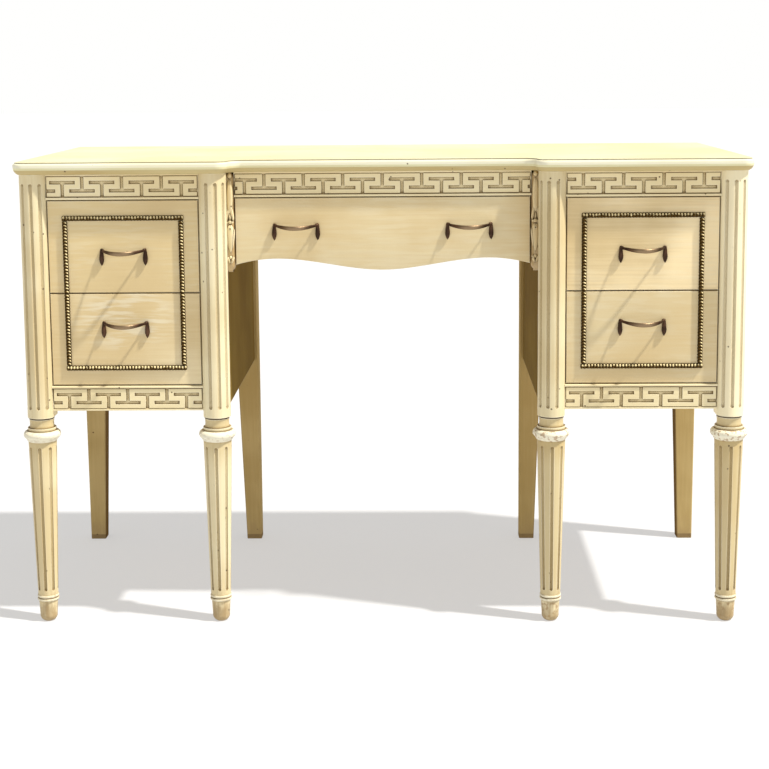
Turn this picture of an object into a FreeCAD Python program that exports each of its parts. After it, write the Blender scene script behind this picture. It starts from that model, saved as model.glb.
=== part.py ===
import FreeCAD, Part
import math
import os

from FreeCAD import Vector as V

# Kneehole dressing table in painted wood: two pedestals of two drawers, a recessed
# middle drawer under a shaped top, fluted front legs, tapered rear legs and key friezes.
# Millimetres. +X is to the right, +Y to the back, +Z up, and z = 0 is the floor.

# Driving dimensions: the whole table
TABLE_HEIGHT = 762.0
TOP_WIDTH = 1180.0
TOP_DEPTH = 508.0
TOP_THICKNESS = 20.0
TOP_OVERHANG = 7.0           # past the posts at the front and the sides
BACK_OVERHANG = 5.0          # past the rear legs
TOP_RECESS = 40.0            # how far the top's middle stands behind its ends
TOP_CORNER = 20.0            # radius of its outer corners
OGEE_NOSE = 20.0             # the ogee's rounded half, next to a pedestal
OGEE_SETBACK = 8.0           # from an inner post's axis to the start of the ogee
CENTRE_RECESS = 32.5         # how far the middle drawer stands behind the others
PEDESTAL_WIDTH = 333.0       # over its two posts
CASE_BOTTOM = 356.0          # height of the lower frieze's underside

# Moulded edge of the top
EDGE_QUIRK = 1.6             # the small step at the upper edge
EDGE_QUIRK_INSET = 3.4
EDGE_SHOULDER = 5.5          # from the top face down to the widest line
EDGE_FLAT = 2.0              # height of the widest line
EDGE_RECEDE = 7.5            # how far the lower curve draws in

# Front legs: a fluted post above, a turned and fluted leg below
POST_DIAMETER = 45.0
POST_BOTTOM = 345.0
POST_FLAT = 21.0             # from the post's axis to the flat that the drawers pass
POST_BLOCK = 16.5            # from the axis to the squared back of the post
POST_FLUTE_PITCH = 38.0      # degrees
POST_FLUTE_WIDTH = 6.4
POST_FLUTE_DEPTH = 2.4
POST_FLUTE_MARGIN = 14.5     # plain length left at each end of the post
LEG_FLUTES = 8
LEG_FLUTE_TOP_WIDTH = 6.4
LEG_FLUTE_BOTTOM_WIDTH = 5.2
LEG_FLUTE_TOP_DEPTH = 2.5
LEG_FLUTE_BOTTOM_DEPTH = 2.1
LEG_FLUTE_MARGIN = 8.0
NECK_RADIUS = 19.4
NECK_END_RADIUS = 20.4       # the neck is a little hollow between its ends
NECK_QUIRK = 2.4             # height of the groove between the neck and the post
NECK_QUIRK_RADIUS = 17.8
LIP_RADIUS = 23.0
RING_RADIUS = 30.0
SHAFT_TOP_RADIUS = 23.0
SHAFT_BOTTOM_RADIUS = 16.3
BEAD_RADIUS = 17.7
SMALL_BEAD_RADIUS = 17.5
FOOT_RADIUS = 15.4
ANKLE_RADIUS = 14.0
FOOT_TIP_RADIUS = 8.0
NECK_HEIGHT = 17.0
LIP_HEIGHT = 5.0
RING_HEIGHT = 18.0
FOOT_HEIGHT = 35.0
ANKLE_HEIGHT = 11.0
BEAD_HEIGHT = 5.2
SMALL_BEAD_HEIGHT = 5.2

# Rear legs
REAR_LEG = 40.0
REAR_FOOT = 28.0
REAR_CHAMFER = 1.5

# Boards
PANEL_THICKNESS = 14.0
BACK_THICKNESS = 6.0
BACK_INSET = 6.0             # from the rear legs' back face
BOTTOM_THICKNESS = 10.0
BOTTOM_LIFT = 10.0           # the bottom board's underside above the frieze's underside
RAIL_THICKNESS = 20.0
RAIL_FORWARD = 8.5           # the rails' face in front of the posts' axis
BACK_RAIL_HEIGHT = 100.0
BACK_RAIL_THICKNESS = 18.0
TONGUE_LENGTH = 8.0
TONGUE_THICKNESS = 6.0
TENON_LENGTH = 12.0
TENON_THICKNESS = 9.0
TENON_MARGIN = 8.0           # from the tenon to the rail's top and bottom edges
JOINT_CLEARANCE = 0.1

# Friezes with a running key pattern
FRIEZE_HEIGHT = 41.0
FRIEZE_BEAD = 4.0
FRIEZE_BEAD_PROUD = 1.5
FRIEZE_FIELD = 32.0          # height of the patterned band
FRIEZE_FIELD_MARGIN = 4.0    # plain strip between the band and the rail's outer edge
KEY_PITCH = 63.8
KEY_BAR = 41.0
KEY_GROOVE = 5.4
KEY_EDGE = 6.6               # from the band's edge to the nearer bar
KEY_DEPTH = 2.2
KEY_LINE_WIDTH = 1.2
KEY_LINE_DEPTH = 1.0
KEY_END = 0.8                # plain wood left at the rail's ends

# Drawers
DRAWER_GAP = 1.5             # seen all round a drawer front
DRAWER_FRONT_THICKNESS = 20.0
DRAWER_FACE_INSET = 0.8      # behind the friezes' face
DRAWER_SIDE = 11.0
DRAWER_BACK = 10.0
DRAWER_BOTTOM = 5.0
DRAWER_REAR_ROOM = 12.0      # behind the drawer, to the rear legs' front face
SIDE_DROP = 12.0             # drawer side's top below the front's top
SIDE_LIFT = 10.0             # drawer side's bottom above the front's bottom
GROOVE_LIFT = 8.0            # drawer bottom above the side's bottom edge
GROOVE_DEPTH = 5.0
DOVETAILS = 3
DOVETAIL_LAP = 7.0           # front wood left in front of the tails
DOVETAIL_FLARE = 2.2         # each side of a tail
FRONT_EDGE_ROUND = 1.0
CENTRE_DRAWER_HEIGHT = 118.5 # the middle drawer's front at its deepest
APRON_ARCH_RISE = 19.0       # its shaped lower edge, above that lowest point
APRON_END_RISE = 9.5
APRON_ARCH_PLACE = 0.735     # share of the half width where the edge is highest
CENTRE_SIDE_LIFT = 10.0      # its sides above that highest place

# Runners
RUNNER_GUIDE_HEIGHT = 38.0
RUNNER_LEDGE = 13.0
RUNNER_LEDGE_THICKNESS = 8.0
RUNNER_CLEARANCE = 0.3
SIDE_CLEARANCE = 0.5

# Rope moulding on the pedestal drawers
ROPE_WIDTH = 9.0
ROPE_HEIGHT = 5.2
ROPE_SIDE_MARGIN = 23.5      # from the drawer front's end to the rope
ROPE_TOP_PLACE = 0.16        # share of a drawer's height between the rope and the front's edge

# Bow pulls
PULL_SPAN = 70.5             # between its two feet
PULL_PROJECTION = 32.0
PULL_FOOT_HEIGHT = 28.0
PULL_FOOT_RADIUS = 4.0
PULL_FOOT_NECK = 2.3         # the foot's radius under its rounded top
PULL_FOOT_STAND = 2.0        # foot's axis in front of the drawer face
PULL_KNUCKLE = 3.0           # radius of the ball where the grip leaves a foot
PULL_GRIP_END = 1.8          # half height of the grip at its ends
PULL_GRIP_MIDDLE = 3.5
PULL_GRIP_THIN = 0.62        # the grip's thickness as a share of its height
PULL_SAG = 3.0
CENTRE_PULL_PLACE = 0.588    # share of the middle drawer's half width
CENTRE_PULL_DROP = 55.5      # from that drawer's top to its pulls' middle
PULL_SCREW_RADIUS = 1.8
PULL_SCREW_BITE = 3.6
PULL_SCREW_HEAD_RADIUS = 4.2
PULL_SCREW_HEAD = 2.4
PULL_SCREW_CLEARANCE = 0.2

# Carved drops beside the middle drawer
DROP_WIDTH = 15.5
DROP_LENGTH = 164.0
DROP_DEPTH = 27.0
DROP_PROUD = 5.0
DROP_ROUND = 12.0
HUSK_BULGE = 4.2
HUSK_TOP_GAP = 6.0

# Glue blocks under the top
BLOCK = 18.0
BLOCK_LENGTH = 60.0
BLOCK_END_ROOM = 40.0

# Derived places
POST_RADIUS = POST_DIAMETER / 2
UNDER_TOP = TABLE_HEIGHT - TOP_THICKNESS
CASE_HALF = TOP_WIDTH / 2 - TOP_OVERHANG
OUTER_POST_X = CASE_HALF - POST_RADIUS
INNER_FACE_X = CASE_HALF - PEDESTAL_WIDTH
INNER_POST_X = INNER_FACE_X + POST_RADIUS

face_depth = TOP_OVERHANG + POST_RADIUS - RAIL_FORWARD + DRAWER_FACE_INSET
PULL_REACH = max(0.0, PULL_PROJECTION - face_depth)
FRONT_Y = -(TOP_DEPTH - PULL_REACH) / 2
BACK_Y = FRONT_Y + TOP_DEPTH
POST_Y = FRONT_Y + TOP_OVERHANG + POST_RADIUS
RAIL_FACE_Y = POST_Y - RAIL_FORWARD
DRAWER_FACE_Y = RAIL_FACE_Y + DRAWER_FACE_INSET
CENTRE_RAIL_Y = RAIL_FACE_Y + CENTRE_RECESS
CENTRE_FACE_Y = DRAWER_FACE_Y + CENTRE_RECESS
POST_BACK_Y = POST_Y + POST_RADIUS
REAR_LEG_BACK_Y = BACK_Y - BACK_OVERHANG
REAR_LEG_FRONT_Y = REAR_LEG_BACK_Y - REAR_LEG

OPENING_LEFT = INNER_POST_X + POST_FLAT
OPENING_RIGHT = OUTER_POST_X - POST_FLAT
OGEE_START = INNER_POST_X - OGEE_SETBACK
INNER_PANEL_X = INNER_POST_X - POST_BLOCK
OUTER_PANEL_X = OUTER_POST_X + POST_BLOCK
FRIEZE_BOTTOM = UNDER_TOP - FRIEZE_HEIGHT
LOWER_FRIEZE_TOP = CASE_BOTTOM + FRIEZE_HEIGHT
DRAWER_HEIGHT = (FRIEZE_BOTTOM - LOWER_FRIEZE_TOP - 3 * DRAWER_GAP) / 2
ROPE_TOP_MARGIN = DRAWER_HEIGHT * ROPE_TOP_PLACE
LOWER_DRAWER_Z = LOWER_FRIEZE_TOP + DRAWER_GAP
UPPER_DRAWER_Z = LOWER_DRAWER_Z + DRAWER_HEIGHT + DRAWER_GAP
CENTRE_DRAWER_TOP = FRIEZE_BOTTOM - DRAWER_GAP
DRAWER_LEFT = OPENING_LEFT + DRAWER_GAP
DRAWER_RIGHT = OPENING_RIGHT - DRAWER_GAP
DRAWER_END_Y = REAR_LEG_FRONT_Y - DRAWER_REAR_ROOM
DROP_INNER_X = INNER_PANEL_X - DROP_WIDTH
DROP_BOTTOM = UNDER_TOP - DROP_LENGTH
CENTRE_DRAWER_HALF = DROP_INNER_X - DRAWER_GAP
APRON_DROP = CENTRE_DRAWER_TOP - CENTRE_DRAWER_HEIGHT
APRON_ARCH = APRON_DROP + APRON_ARCH_RISE
APRON_END = APRON_DROP + APRON_END_RISE
APRON_ARCH_X = CENTRE_DRAWER_HALF * APRON_ARCH_PLACE
CENTRE_SIDE_BOTTOM = APRON_ARCH + CENTRE_SIDE_LIFT
CENTRE_PULL_X = CENTRE_DRAWER_HALF * CENTRE_PULL_PLACE
CENTRE_PULL_Z = CENTRE_DRAWER_TOP - CENTRE_PULL_DROP


def box(x0, x1, y0, y1, z0, z1):
    """A board between two corners."""
    return Part.makeBox(x1 - x0, y1 - y0, z1 - z0, V(x0, y0, z0))


def prism(points, direction):
    """A flat outline of straight lines, pushed along a direction."""
    return Part.Face(Part.makePolygon(points + points[:1])).extrude(direction)


def line(a, b):
    return Part.LineSegment(a, b).toShape()


def arc(a, middle, b):
    return Part.Arc(a, middle, b).toShape()


def mirrored(shape):
    """The same piece on the left side."""
    return shape.mirror(V(0, 0, 0), V(1, 0, 0))


def cutter_radius(width, depth):
    """Radius of the round cutter that leaves a flute of this width and depth."""
    return (width * width / 4 + depth * depth) / (2 * depth)


# The top: a board with an ogee on each side of its recessed middle and a moulded edge
def top_edges():
    """The shown edges of the top's plan in order, from the right back corner to the left one."""
    half = TOP_WIDTH / 2
    z = UNDER_TOP
    hollow = TOP_RECESS - OGEE_NOSE
    diagonal = math.sqrt(0.5)
    corner_x, corner_y = half - TOP_CORNER, FRONT_Y + TOP_CORNER
    nose_y = FRONT_Y + OGEE_NOSE
    ogee_x = OGEE_START - OGEE_NOSE
    hollow_x = ogee_x - hollow
    recess_y = FRONT_Y + TOP_RECESS
    right = [
        line(V(half, BACK_Y, z), V(half, corner_y, z)),
        arc(V(half, corner_y, z), V(corner_x + TOP_CORNER * diagonal, corner_y - TOP_CORNER * diagonal, z),
            V(corner_x, FRONT_Y, z)),
        line(V(corner_x, FRONT_Y, z), V(OGEE_START, FRONT_Y, z)),
        arc(V(OGEE_START, FRONT_Y, z),
            V(OGEE_START - OGEE_NOSE * diagonal, nose_y - OGEE_NOSE * diagonal, z), V(ogee_x, nose_y, z)),
        arc(V(ogee_x, nose_y, z),
            V(hollow_x + hollow * diagonal, nose_y + hollow * diagonal, z), V(hollow_x, recess_y, z)),
    ]
    middle = line(V(hollow_x, recess_y, z), V(-hollow_x, recess_y, z))
    return right + [middle] + [mirrored(edge) for edge in reversed(right)]


def edge_cutter(points_and_arcs, path):
    """A section at the right back corner, swept along the top's shown edge."""
    return path.makePipeShell([Part.Wire(points_and_arcs)], True, False)


def top_board():
    edges = top_edges()
    half = TOP_WIDTH / 2
    back = line(V(-half, BACK_Y, UNDER_TOP), V(half, BACK_Y, UNDER_TOP))
    board = Part.Face(Part.Wire(Part.__sortEdges__(edges + [back]))).extrude(V(0, 0, TOP_THICKNESS))
    path = Part.Wire(Part.__sortEdges__(edges))
    out = half + EDGE_QUIRK_INSET
    wide_z = TABLE_HEIGHT - EDGE_SHOULDER
    low_z = wide_z - EDGE_FLAT

    def p(x, z):
        return V(x, BACK_Y, z)

    step_z = TABLE_HEIGHT - EDGE_QUIRK
    shoulder_mid = p(half - 0.3 * EDGE_QUIRK_INSET, wide_z + 0.68 * (step_z - wide_z))
    upper = [
        line(p(half, wide_z), p(out, wide_z)),
        line(p(out, wide_z), p(out, TABLE_HEIGHT + 1)),
        line(p(out, TABLE_HEIGHT + 1), p(half - EDGE_QUIRK_INSET, TABLE_HEIGHT + 1)),
        line(p(half - EDGE_QUIRK_INSET, TABLE_HEIGHT + 1), p(half - EDGE_QUIRK_INSET, step_z)),
        arc(p(half - EDGE_QUIRK_INSET, step_z), shoulder_mid, p(half, wide_z)),
    ]
    bow_mid = p(half - 0.24 * EDGE_RECEDE, low_z - 0.58 * (low_z - UNDER_TOP))
    lower = [
        line(p(half, low_z), p(out, low_z)),
        line(p(out, low_z), p(out, UNDER_TOP - 1)),
        line(p(out, UNDER_TOP - 1), p(half - EDGE_RECEDE, UNDER_TOP - 1)),
        line(p(half - EDGE_RECEDE, UNDER_TOP - 1), p(half - EDGE_RECEDE, UNDER_TOP)),
        arc(p(half - EDGE_RECEDE, UNDER_TOP), bow_mid, p(half, low_z)),
    ]
    for section in (upper, lower):
        board = board.cut(edge_cutter(section, path))
    return board


# Front legs: one turned blank each, squared behind where the case joins it
def leg_profile():
    """Half section of the turned leg, floor to post, as a face in the XZ plane."""
    bead_low = FOOT_HEIGHT
    bead_mid = bead_low + BEAD_HEIGHT
    shaft_low = bead_mid + SMALL_BEAD_HEIGHT
    neck_low = POST_BOTTOM - NECK_HEIGHT
    lip_low = neck_low - LIP_HEIGHT
    shaft_high = lip_low - RING_HEIGHT
    quirk_low = POST_BOTTOM - NECK_QUIRK

    def p(radius, z):
        return V(radius, 0, z)

    tip_mid = p(FOOT_TIP_RADIUS + 0.72 * (ANKLE_RADIUS - FOOT_TIP_RADIUS), 0.34 * ANKLE_HEIGHT)
    waist = (SHAFT_TOP_RADIUS + RING_RADIUS) / 2
    edges = [
        line(p(0, 0), p(FOOT_TIP_RADIUS, 0)),
        arc(p(FOOT_TIP_RADIUS, 0), tip_mid, p(ANKLE_RADIUS, ANKLE_HEIGHT)),
        line(p(ANKLE_RADIUS, ANKLE_HEIGHT), p(FOOT_RADIUS, bead_low)),
        arc(p(FOOT_RADIUS, bead_low), p(BEAD_RADIUS, bead_low + BEAD_HEIGHT / 2), p(FOOT_RADIUS, bead_mid)),
        arc(p(FOOT_RADIUS, bead_mid), p(SMALL_BEAD_RADIUS, bead_mid + SMALL_BEAD_HEIGHT / 2),
            p(SHAFT_BOTTOM_RADIUS, shaft_low)),
        line(p(SHAFT_BOTTOM_RADIUS, shaft_low), p(SHAFT_TOP_RADIUS, shaft_high)),
        line(p(SHAFT_TOP_RADIUS, shaft_high), p(SHAFT_TOP_RADIUS + 1.5, shaft_high + 1.5)),
        line(p(SHAFT_TOP_RADIUS + 1.5, shaft_high + 1.5), p(waist, shaft_high + RING_HEIGHT * 0.3)),
        arc(p(waist, shaft_high + RING_HEIGHT * 0.3), p(RING_RADIUS, shaft_high + RING_HEIGHT * 0.62),
            p(LIP_RADIUS, lip_low)),
        line(p(LIP_RADIUS, lip_low), p(LIP_RADIUS, neck_low)),
        line(p(LIP_RADIUS, neck_low), p(NECK_END_RADIUS, neck_low)),
        arc(p(NECK_END_RADIUS, neck_low), p(NECK_RADIUS, (neck_low + quirk_low) / 2),
            p(NECK_END_RADIUS, quirk_low)),
        line(p(NECK_END_RADIUS, quirk_low), p(NECK_QUIRK_RADIUS, quirk_low)),
        line(p(NECK_QUIRK_RADIUS, quirk_low), p(NECK_QUIRK_RADIUS, POST_BOTTOM)),
        line(p(NECK_QUIRK_RADIUS, POST_BOTTOM), p(0, POST_BOTTOM)),
        line(p(0, POST_BOTTOM), p(0, 0)),
    ]
    return Part.Face(Part.Wire(edges)), shaft_low, shaft_high


def post_section():
    """The post's plan about its axis: round outside, flat to the drawer (+x), square behind."""
    r = POST_RADIUS
    flat_y = -math.sqrt(r * r - POST_FLAT * POST_FLAT)
    block_y = math.sqrt(r * r - POST_BLOCK * POST_BLOCK)
    edges = [
        arc(V(POST_FLAT, flat_y, 0), V(0, -r, 0), V(-r, 0, 0)),
        arc(V(-r, 0, 0), V(-r * math.cos(0.4), r * math.sin(0.4), 0), V(-POST_BLOCK, block_y, 0)),
        line(V(-POST_BLOCK, block_y, 0), V(-POST_BLOCK, r, 0)),
        line(V(-POST_BLOCK, r, 0), V(POST_FLAT, r, 0)),
        line(V(POST_FLAT, r, 0), V(POST_FLAT, flat_y, 0)),
    ]
    return Part.Face(Part.Wire(edges))


def flute(foot, head, foot_radius, head_radius):
    """A round-ended cutter from foot to head, turned about its own length."""
    along = head.sub(foot)
    length = along.Length
    lean = math.asin((foot_radius - head_radius) / length)

    def p(radius, turn, z):
        return V(radius * math.cos(turn), 0, z + radius * math.sin(turn))

    low, high = -math.pi / 2, math.pi / 2
    foot_side, head_side = p(foot_radius, lean, 0), p(head_radius, lean, length)
    foot_tip, head_tip = V(0, 0, -foot_radius), V(0, 0, length + head_radius)
    profile = Part.Face(Part.Wire([
        arc(foot_tip, p(foot_radius, (low + lean) / 2, 0), foot_side),
        line(foot_side, head_side),
        arc(head_side, p(head_radius, (high + lean) / 2, length), head_tip),
        line(head_tip, foot_tip),
    ]))
    cutter = profile.revolve(V(0, 0, 0), V(0, 0, 1), 360)
    cutter.Placement = FreeCAD.Placement(foot, FreeCAD.Rotation(V(0, 0, 1), along))
    return cutter


def post_flutes(first, count):
    """Cutters on the post's shown side, from first pitches off the front towards its outer side."""
    radius = cutter_radius(POST_FLUTE_WIDTH, POST_FLUTE_DEPTH)
    ring = POST_RADIUS - POST_FLUTE_DEPTH + radius
    low = POST_BOTTOM + POST_FLUTE_MARGIN + POST_FLUTE_WIDTH / 2
    high = UNDER_TOP - POST_FLUTE_MARGIN - POST_FLUTE_WIDTH / 2
    cutters = []
    for step in range(count):
        angle = math.radians((first + step) * POST_FLUTE_PITCH)
        x, y = -ring * math.sin(angle), -ring * math.cos(angle)
        cutters.append(flute(V(x, y, low), V(x, y, high), radius, radius))
    return cutters


def leg_flutes(shaft_low, shaft_high):
    """Cutters down the tapered shaft."""
    foot_radius = cutter_radius(LEG_FLUTE_BOTTOM_WIDTH, LEG_FLUTE_BOTTOM_DEPTH)
    head_radius = cutter_radius(LEG_FLUTE_TOP_WIDTH, LEG_FLUTE_TOP_DEPTH)
    low = shaft_low + LEG_FLUTE_MARGIN + LEG_FLUTE_BOTTOM_WIDTH / 2
    high = shaft_high - LEG_FLUTE_MARGIN - LEG_FLUTE_TOP_WIDTH / 2
    foot_ring = SHAFT_BOTTOM_RADIUS - LEG_FLUTE_BOTTOM_DEPTH + foot_radius
    head_ring = SHAFT_TOP_RADIUS - LEG_FLUTE_TOP_DEPTH + head_radius
    cutters = []
    for n in range(LEG_FLUTES):
        a = 2 * math.pi * n / LEG_FLUTES
        foot = V(foot_ring * math.sin(a), -foot_ring * math.cos(a), low)
        head = V(head_ring * math.sin(a), -head_ring * math.cos(a), high)
        cutters.append(flute(foot, head, foot_radius, head_radius))
    return cutters


def plain_front_leg(first_flute, post_flute_count):
    """A front leg about its own axis, its drawer side to +x."""
    profile, shaft_low, shaft_high = leg_profile()
    turned = profile.revolve(V(0, 0, 0), V(0, 0, 1), 360)
    post = post_section().extrude(V(0, 0, UNDER_TOP - POST_BOTTOM))
    post.translate(V(0, 0, POST_BOTTOM))
    post = post.cut(Part.makeCompound(post_flutes(first_flute, post_flute_count)))
    turned = turned.cut(Part.makeCompound(leg_flutes(shaft_low, shaft_high)))
    return turned.fuse(post).removeSplitter()


def rail_tenon(x, z_low, z_high, y_face, grow=0.0):
    """A tenon that stands past a rail's end at x, both ways, so that either shape can use it."""
    y0 = y_face + (RAIL_THICKNESS - TENON_THICKNESS) / 2
    return box(x - TENON_LENGTH - grow, x + TENON_LENGTH + grow,
               y0 - grow, y0 + TENON_THICKNESS + grow,
               z_low + TENON_MARGIN - grow, z_high - TENON_MARGIN + grow)


def panel_tongue(x_face, thickness_to, y0, y1, grow=0.0):
    """A side panel's tongue, from y0 to y1, centred in the panel's thickness."""
    middle = x_face + thickness_to * PANEL_THICKNESS / 2
    half = TONGUE_THICKNESS / 2 + grow
    return box(middle - half, middle + half, y0, y1, CASE_BOTTOM - grow, UNDER_TOP + grow)


def front_legs():
    """The outer and inner legs of the right pedestal."""
    inner = plain_front_leg(-0.5, 4)
    inner.translate(V(INNER_POST_X, POST_Y, 0))
    outer = mirrored(plain_front_leg(-1.0, 5))
    outer.translate(V(OUTER_POST_X, POST_Y, 0))
    groove_y = POST_BACK_Y - TONGUE_LENGTH - JOINT_CLEARANCE
    mortises = []
    for x in (OPENING_LEFT, OPENING_RIGHT):
        mortises.append(rail_tenon(x, FRIEZE_BOTTOM, UNDER_TOP, RAIL_FACE_Y, JOINT_CLEARANCE))
        mortises.append(rail_tenon(x, CASE_BOTTOM, LOWER_FRIEZE_TOP, RAIL_FACE_Y, JOINT_CLEARANCE))
    inner_groove = panel_tongue(INNER_PANEL_X, 1, groove_y, POST_BACK_Y + 1, JOINT_CLEARANCE)
    outer_groove = panel_tongue(OUTER_PANEL_X, -1, groove_y, POST_BACK_Y + 1, JOINT_CLEARANCE)
    inner = inner.cut(Part.makeCompound(mortises + [inner_groove]))
    outer = outer.cut(Part.makeCompound(mortises + [outer_groove]))
    return inner, outer


# Rear legs: square, tapered on their two inside faces below the case
def back_tongue(x_face, outward, grow=0.0):
    """The edge of a pedestal's back where it enters a rear leg's groove."""
    x0, x1 = sorted((x_face, x_face + outward * TONGUE_LENGTH))
    y1 = REAR_LEG_BACK_Y - BACK_INSET
    return box(x0 - grow, x1 + grow, y1 - BACK_THICKNESS - grow, y1 + grow,
               CASE_BOTTOM - grow, UNDER_TOP + grow)


def rear_leg(x0, inside):
    """A rear leg whose square starts at x0. inside is the x direction of the pedestal's inside."""
    x1 = x0 + REAR_LEG
    y1 = REAR_LEG_BACK_Y
    foot_x0 = x0 if inside > 0 else x1 - REAR_FOOT

    def square(ax, size, z):
        c = REAR_CHAMFER
        bx, ay = ax + size, y1 - size
        corners = [(ax + c, ay), (bx - c, ay), (bx, ay + c), (bx, y1 - c),
                   (bx - c, y1), (ax + c, y1), (ax, y1 - c), (ax, ay + c), (ax + c, ay)]
        return Part.makePolygon([V(px, py, z) for px, py in corners])

    full = square(x0, REAR_LEG, CASE_BOTTOM)
    taper = Part.makeLoft([square(foot_x0, REAR_FOOT, 0), full], True, True)
    shaft = Part.Face(full).extrude(V(0, 0, UNDER_TOP - CASE_BOTTOM))
    return shaft.fuse(taper).removeSplitter()


def rear_legs():
    """The inner and outer rear legs of the right pedestal, grooved for the panels."""
    inner_x1 = INNER_FACE_X + REAR_LEG
    outer_x0 = CASE_HALF - REAR_LEG
    groove_end = REAR_LEG_FRONT_Y + TONGUE_LENGTH + JOINT_CLEARANCE
    inner_cuts = [
        panel_tongue(INNER_PANEL_X, 1, REAR_LEG_FRONT_Y - 1, groove_end, JOINT_CLEARANCE),
        back_tongue(inner_x1, -1, JOINT_CLEARANCE),
    ]
    outer_cuts = [
        panel_tongue(OUTER_PANEL_X, -1, REAR_LEG_FRONT_Y - 1, groove_end, JOINT_CLEARANCE),
        back_tongue(outer_x0, 1, JOINT_CLEARANCE),
    ]
    rail_mortise = back_rail_tenon(INNER_FACE_X, JOINT_CLEARANCE)
    inner = rear_leg(INNER_FACE_X, 1).cut(Part.makeCompound(inner_cuts + [rail_mortise]))
    outer = rear_leg(outer_x0, -1).cut(Part.makeCompound(outer_cuts))
    return inner, outer


# Case boards
def side_panels():
    """The inner and outer side panels of the right pedestal, tongued at both ends."""
    panels = []
    for x_face, inward in ((INNER_PANEL_X, 1), (OUTER_PANEL_X, -1)):
        x0, x1 = sorted((x_face, x_face + inward * PANEL_THICKNESS))
        panel = box(x0, x1, POST_BACK_Y, REAR_LEG_FRONT_Y, CASE_BOTTOM, UNDER_TOP)
        tongue = panel_tongue(x_face, inward, POST_BACK_Y - TONGUE_LENGTH, REAR_LEG_FRONT_Y + TONGUE_LENGTH)
        panels.append(panel.fuse(tongue).removeSplitter())
    return panels


def back_panel():
    x0 = INNER_FACE_X + REAR_LEG
    x1 = CASE_HALF - REAR_LEG
    y1 = REAR_LEG_BACK_Y - BACK_INSET
    board = box(x0, x1, y1 - BACK_THICKNESS, y1, CASE_BOTTOM, UNDER_TOP)
    return board.fuse([back_tongue(x0, -1), back_tongue(x1, 1)]).removeSplitter()


def bottom_board():
    """The pedestal's bottom, its front narrowed to pass between the posts."""
    x0 = INNER_PANEL_X + PANEL_THICKNESS
    x1 = OUTER_PANEL_X - PANEL_THICKNESS
    z0 = CASE_BOTTOM + BOTTOM_LIFT
    z1 = z0 + BOTTOM_THICKNESS
    wide = box(x0, x1, POST_BACK_Y, REAR_LEG_FRONT_Y, z0, z1)
    front = box(OPENING_LEFT, OPENING_RIGHT, RAIL_FACE_Y + RAIL_THICKNESS, POST_BACK_Y, z0, z1)
    return wide.fuse(front).removeSplitter()


def back_rail_tenon(x, grow=0.0):
    """The middle back rail's tenon at the inner rear leg's face."""
    y1 = REAR_LEG_BACK_Y - BACK_INSET
    inset = (BACK_RAIL_THICKNESS - TENON_THICKNESS) / 2
    return box(x - TENON_LENGTH - grow, x + TENON_LENGTH + grow,
               y1 - BACK_RAIL_THICKNESS + inset - grow, y1 - inset + grow,
               UNDER_TOP - BACK_RAIL_HEIGHT + TENON_MARGIN - grow, UNDER_TOP - TENON_MARGIN + grow)


def centre_back_rail():
    y1 = REAR_LEG_BACK_Y - BACK_INSET
    half = INNER_FACE_X
    rail = box(-half, half, y1 - BACK_RAIL_THICKNESS, y1, UNDER_TOP - BACK_RAIL_HEIGHT, UNDER_TOP)
    return rail.fuse([back_rail_tenon(half), back_rail_tenon(-half)]).removeSplitter()


# Friezes
def key_cutters(x0, x1, y_face, z_low, flipped):
    """Grooves of the running key between x0 and x1: T shapes, upright and turned by turns."""
    z_high = z_low + FRIEZE_FIELD
    left, right = x0 + KEY_END, x1 - KEY_END
    bar_left, bar_right = left + KEY_LINE_WIDTH, right - KEY_LINE_WIDTH
    back = y_face + KEY_DEPTH
    bar = KEY_GROOVE / 2
    middle = (x0 + x1) / 2
    reach = int((x1 - x0) / KEY_PITCH) + 2
    cutters = []
    for half_step in range(-2 * reach, 2 * reach + 1):
        centre = middle + half_step * KEY_PITCH / 2
        from_top = (half_step % 2 == 0) != flipped
        bar_z = z_low + KEY_EDGE + bar if from_top else z_high - KEY_EDGE - bar
        stem_low, stem_high = (bar_z, z_high) if from_top else (z_low, bar_z)
        for a, b, low, high in ((centre - KEY_BAR / 2, centre + KEY_BAR / 2, bar_z - bar, bar_z + bar),
                                (centre - bar, centre + bar, stem_low, stem_high)):
            a, b = max(a, bar_left), min(b, bar_right)
            if b - a > KEY_LINE_WIDTH:
                cutters.append(box(a, b, y_face - 1, back, low, high))
    low, high = z_low - KEY_LINE_WIDTH, z_high + KEY_LINE_WIDTH
    line_back = y_face + KEY_LINE_DEPTH
    for z in (low, z_high):
        cutters.append(box(left, right, y_face - 1, line_back, z, z + KEY_LINE_WIDTH))
    for x in (left, right - KEY_LINE_WIDTH):
        cutters.append(box(x, x + KEY_LINE_WIDTH, y_face - 1, line_back, low, high))
    return cutters


def frieze(x0, x1, y_face, z0, bead_on_top, flipped, tenons):
    """A carved rail with a bead along the edge that meets the drawers."""
    z1 = z0 + FRIEZE_HEIGHT
    rail = box(x0, x1, y_face, y_face + RAIL_THICKNESS, z0, z1)
    bead_z = z1 - FRIEZE_BEAD if bead_on_top else z0
    bead = box(x0, x1, y_face - FRIEZE_BEAD_PROUD, y_face, bead_z, bead_z + FRIEZE_BEAD)
    front = [e for e in bead.Edges
             if e.BoundBox.XLength > 1 and abs(e.BoundBox.YMax - (y_face - FRIEZE_BEAD_PROUD)) < 1e-6]
    bead = bead.makeFillet(FRIEZE_BEAD_PROUD * 0.8, front)
    field_z = z0 + FRIEZE_FIELD_MARGIN if bead_on_top else z1 - FRIEZE_FIELD_MARGIN - FRIEZE_FIELD
    rail = rail.fuse([bead] + tenons).removeSplitter()
    return rail.cut(Part.makeCompound(key_cutters(x0, x1, y_face, field_z, flipped)))


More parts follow.
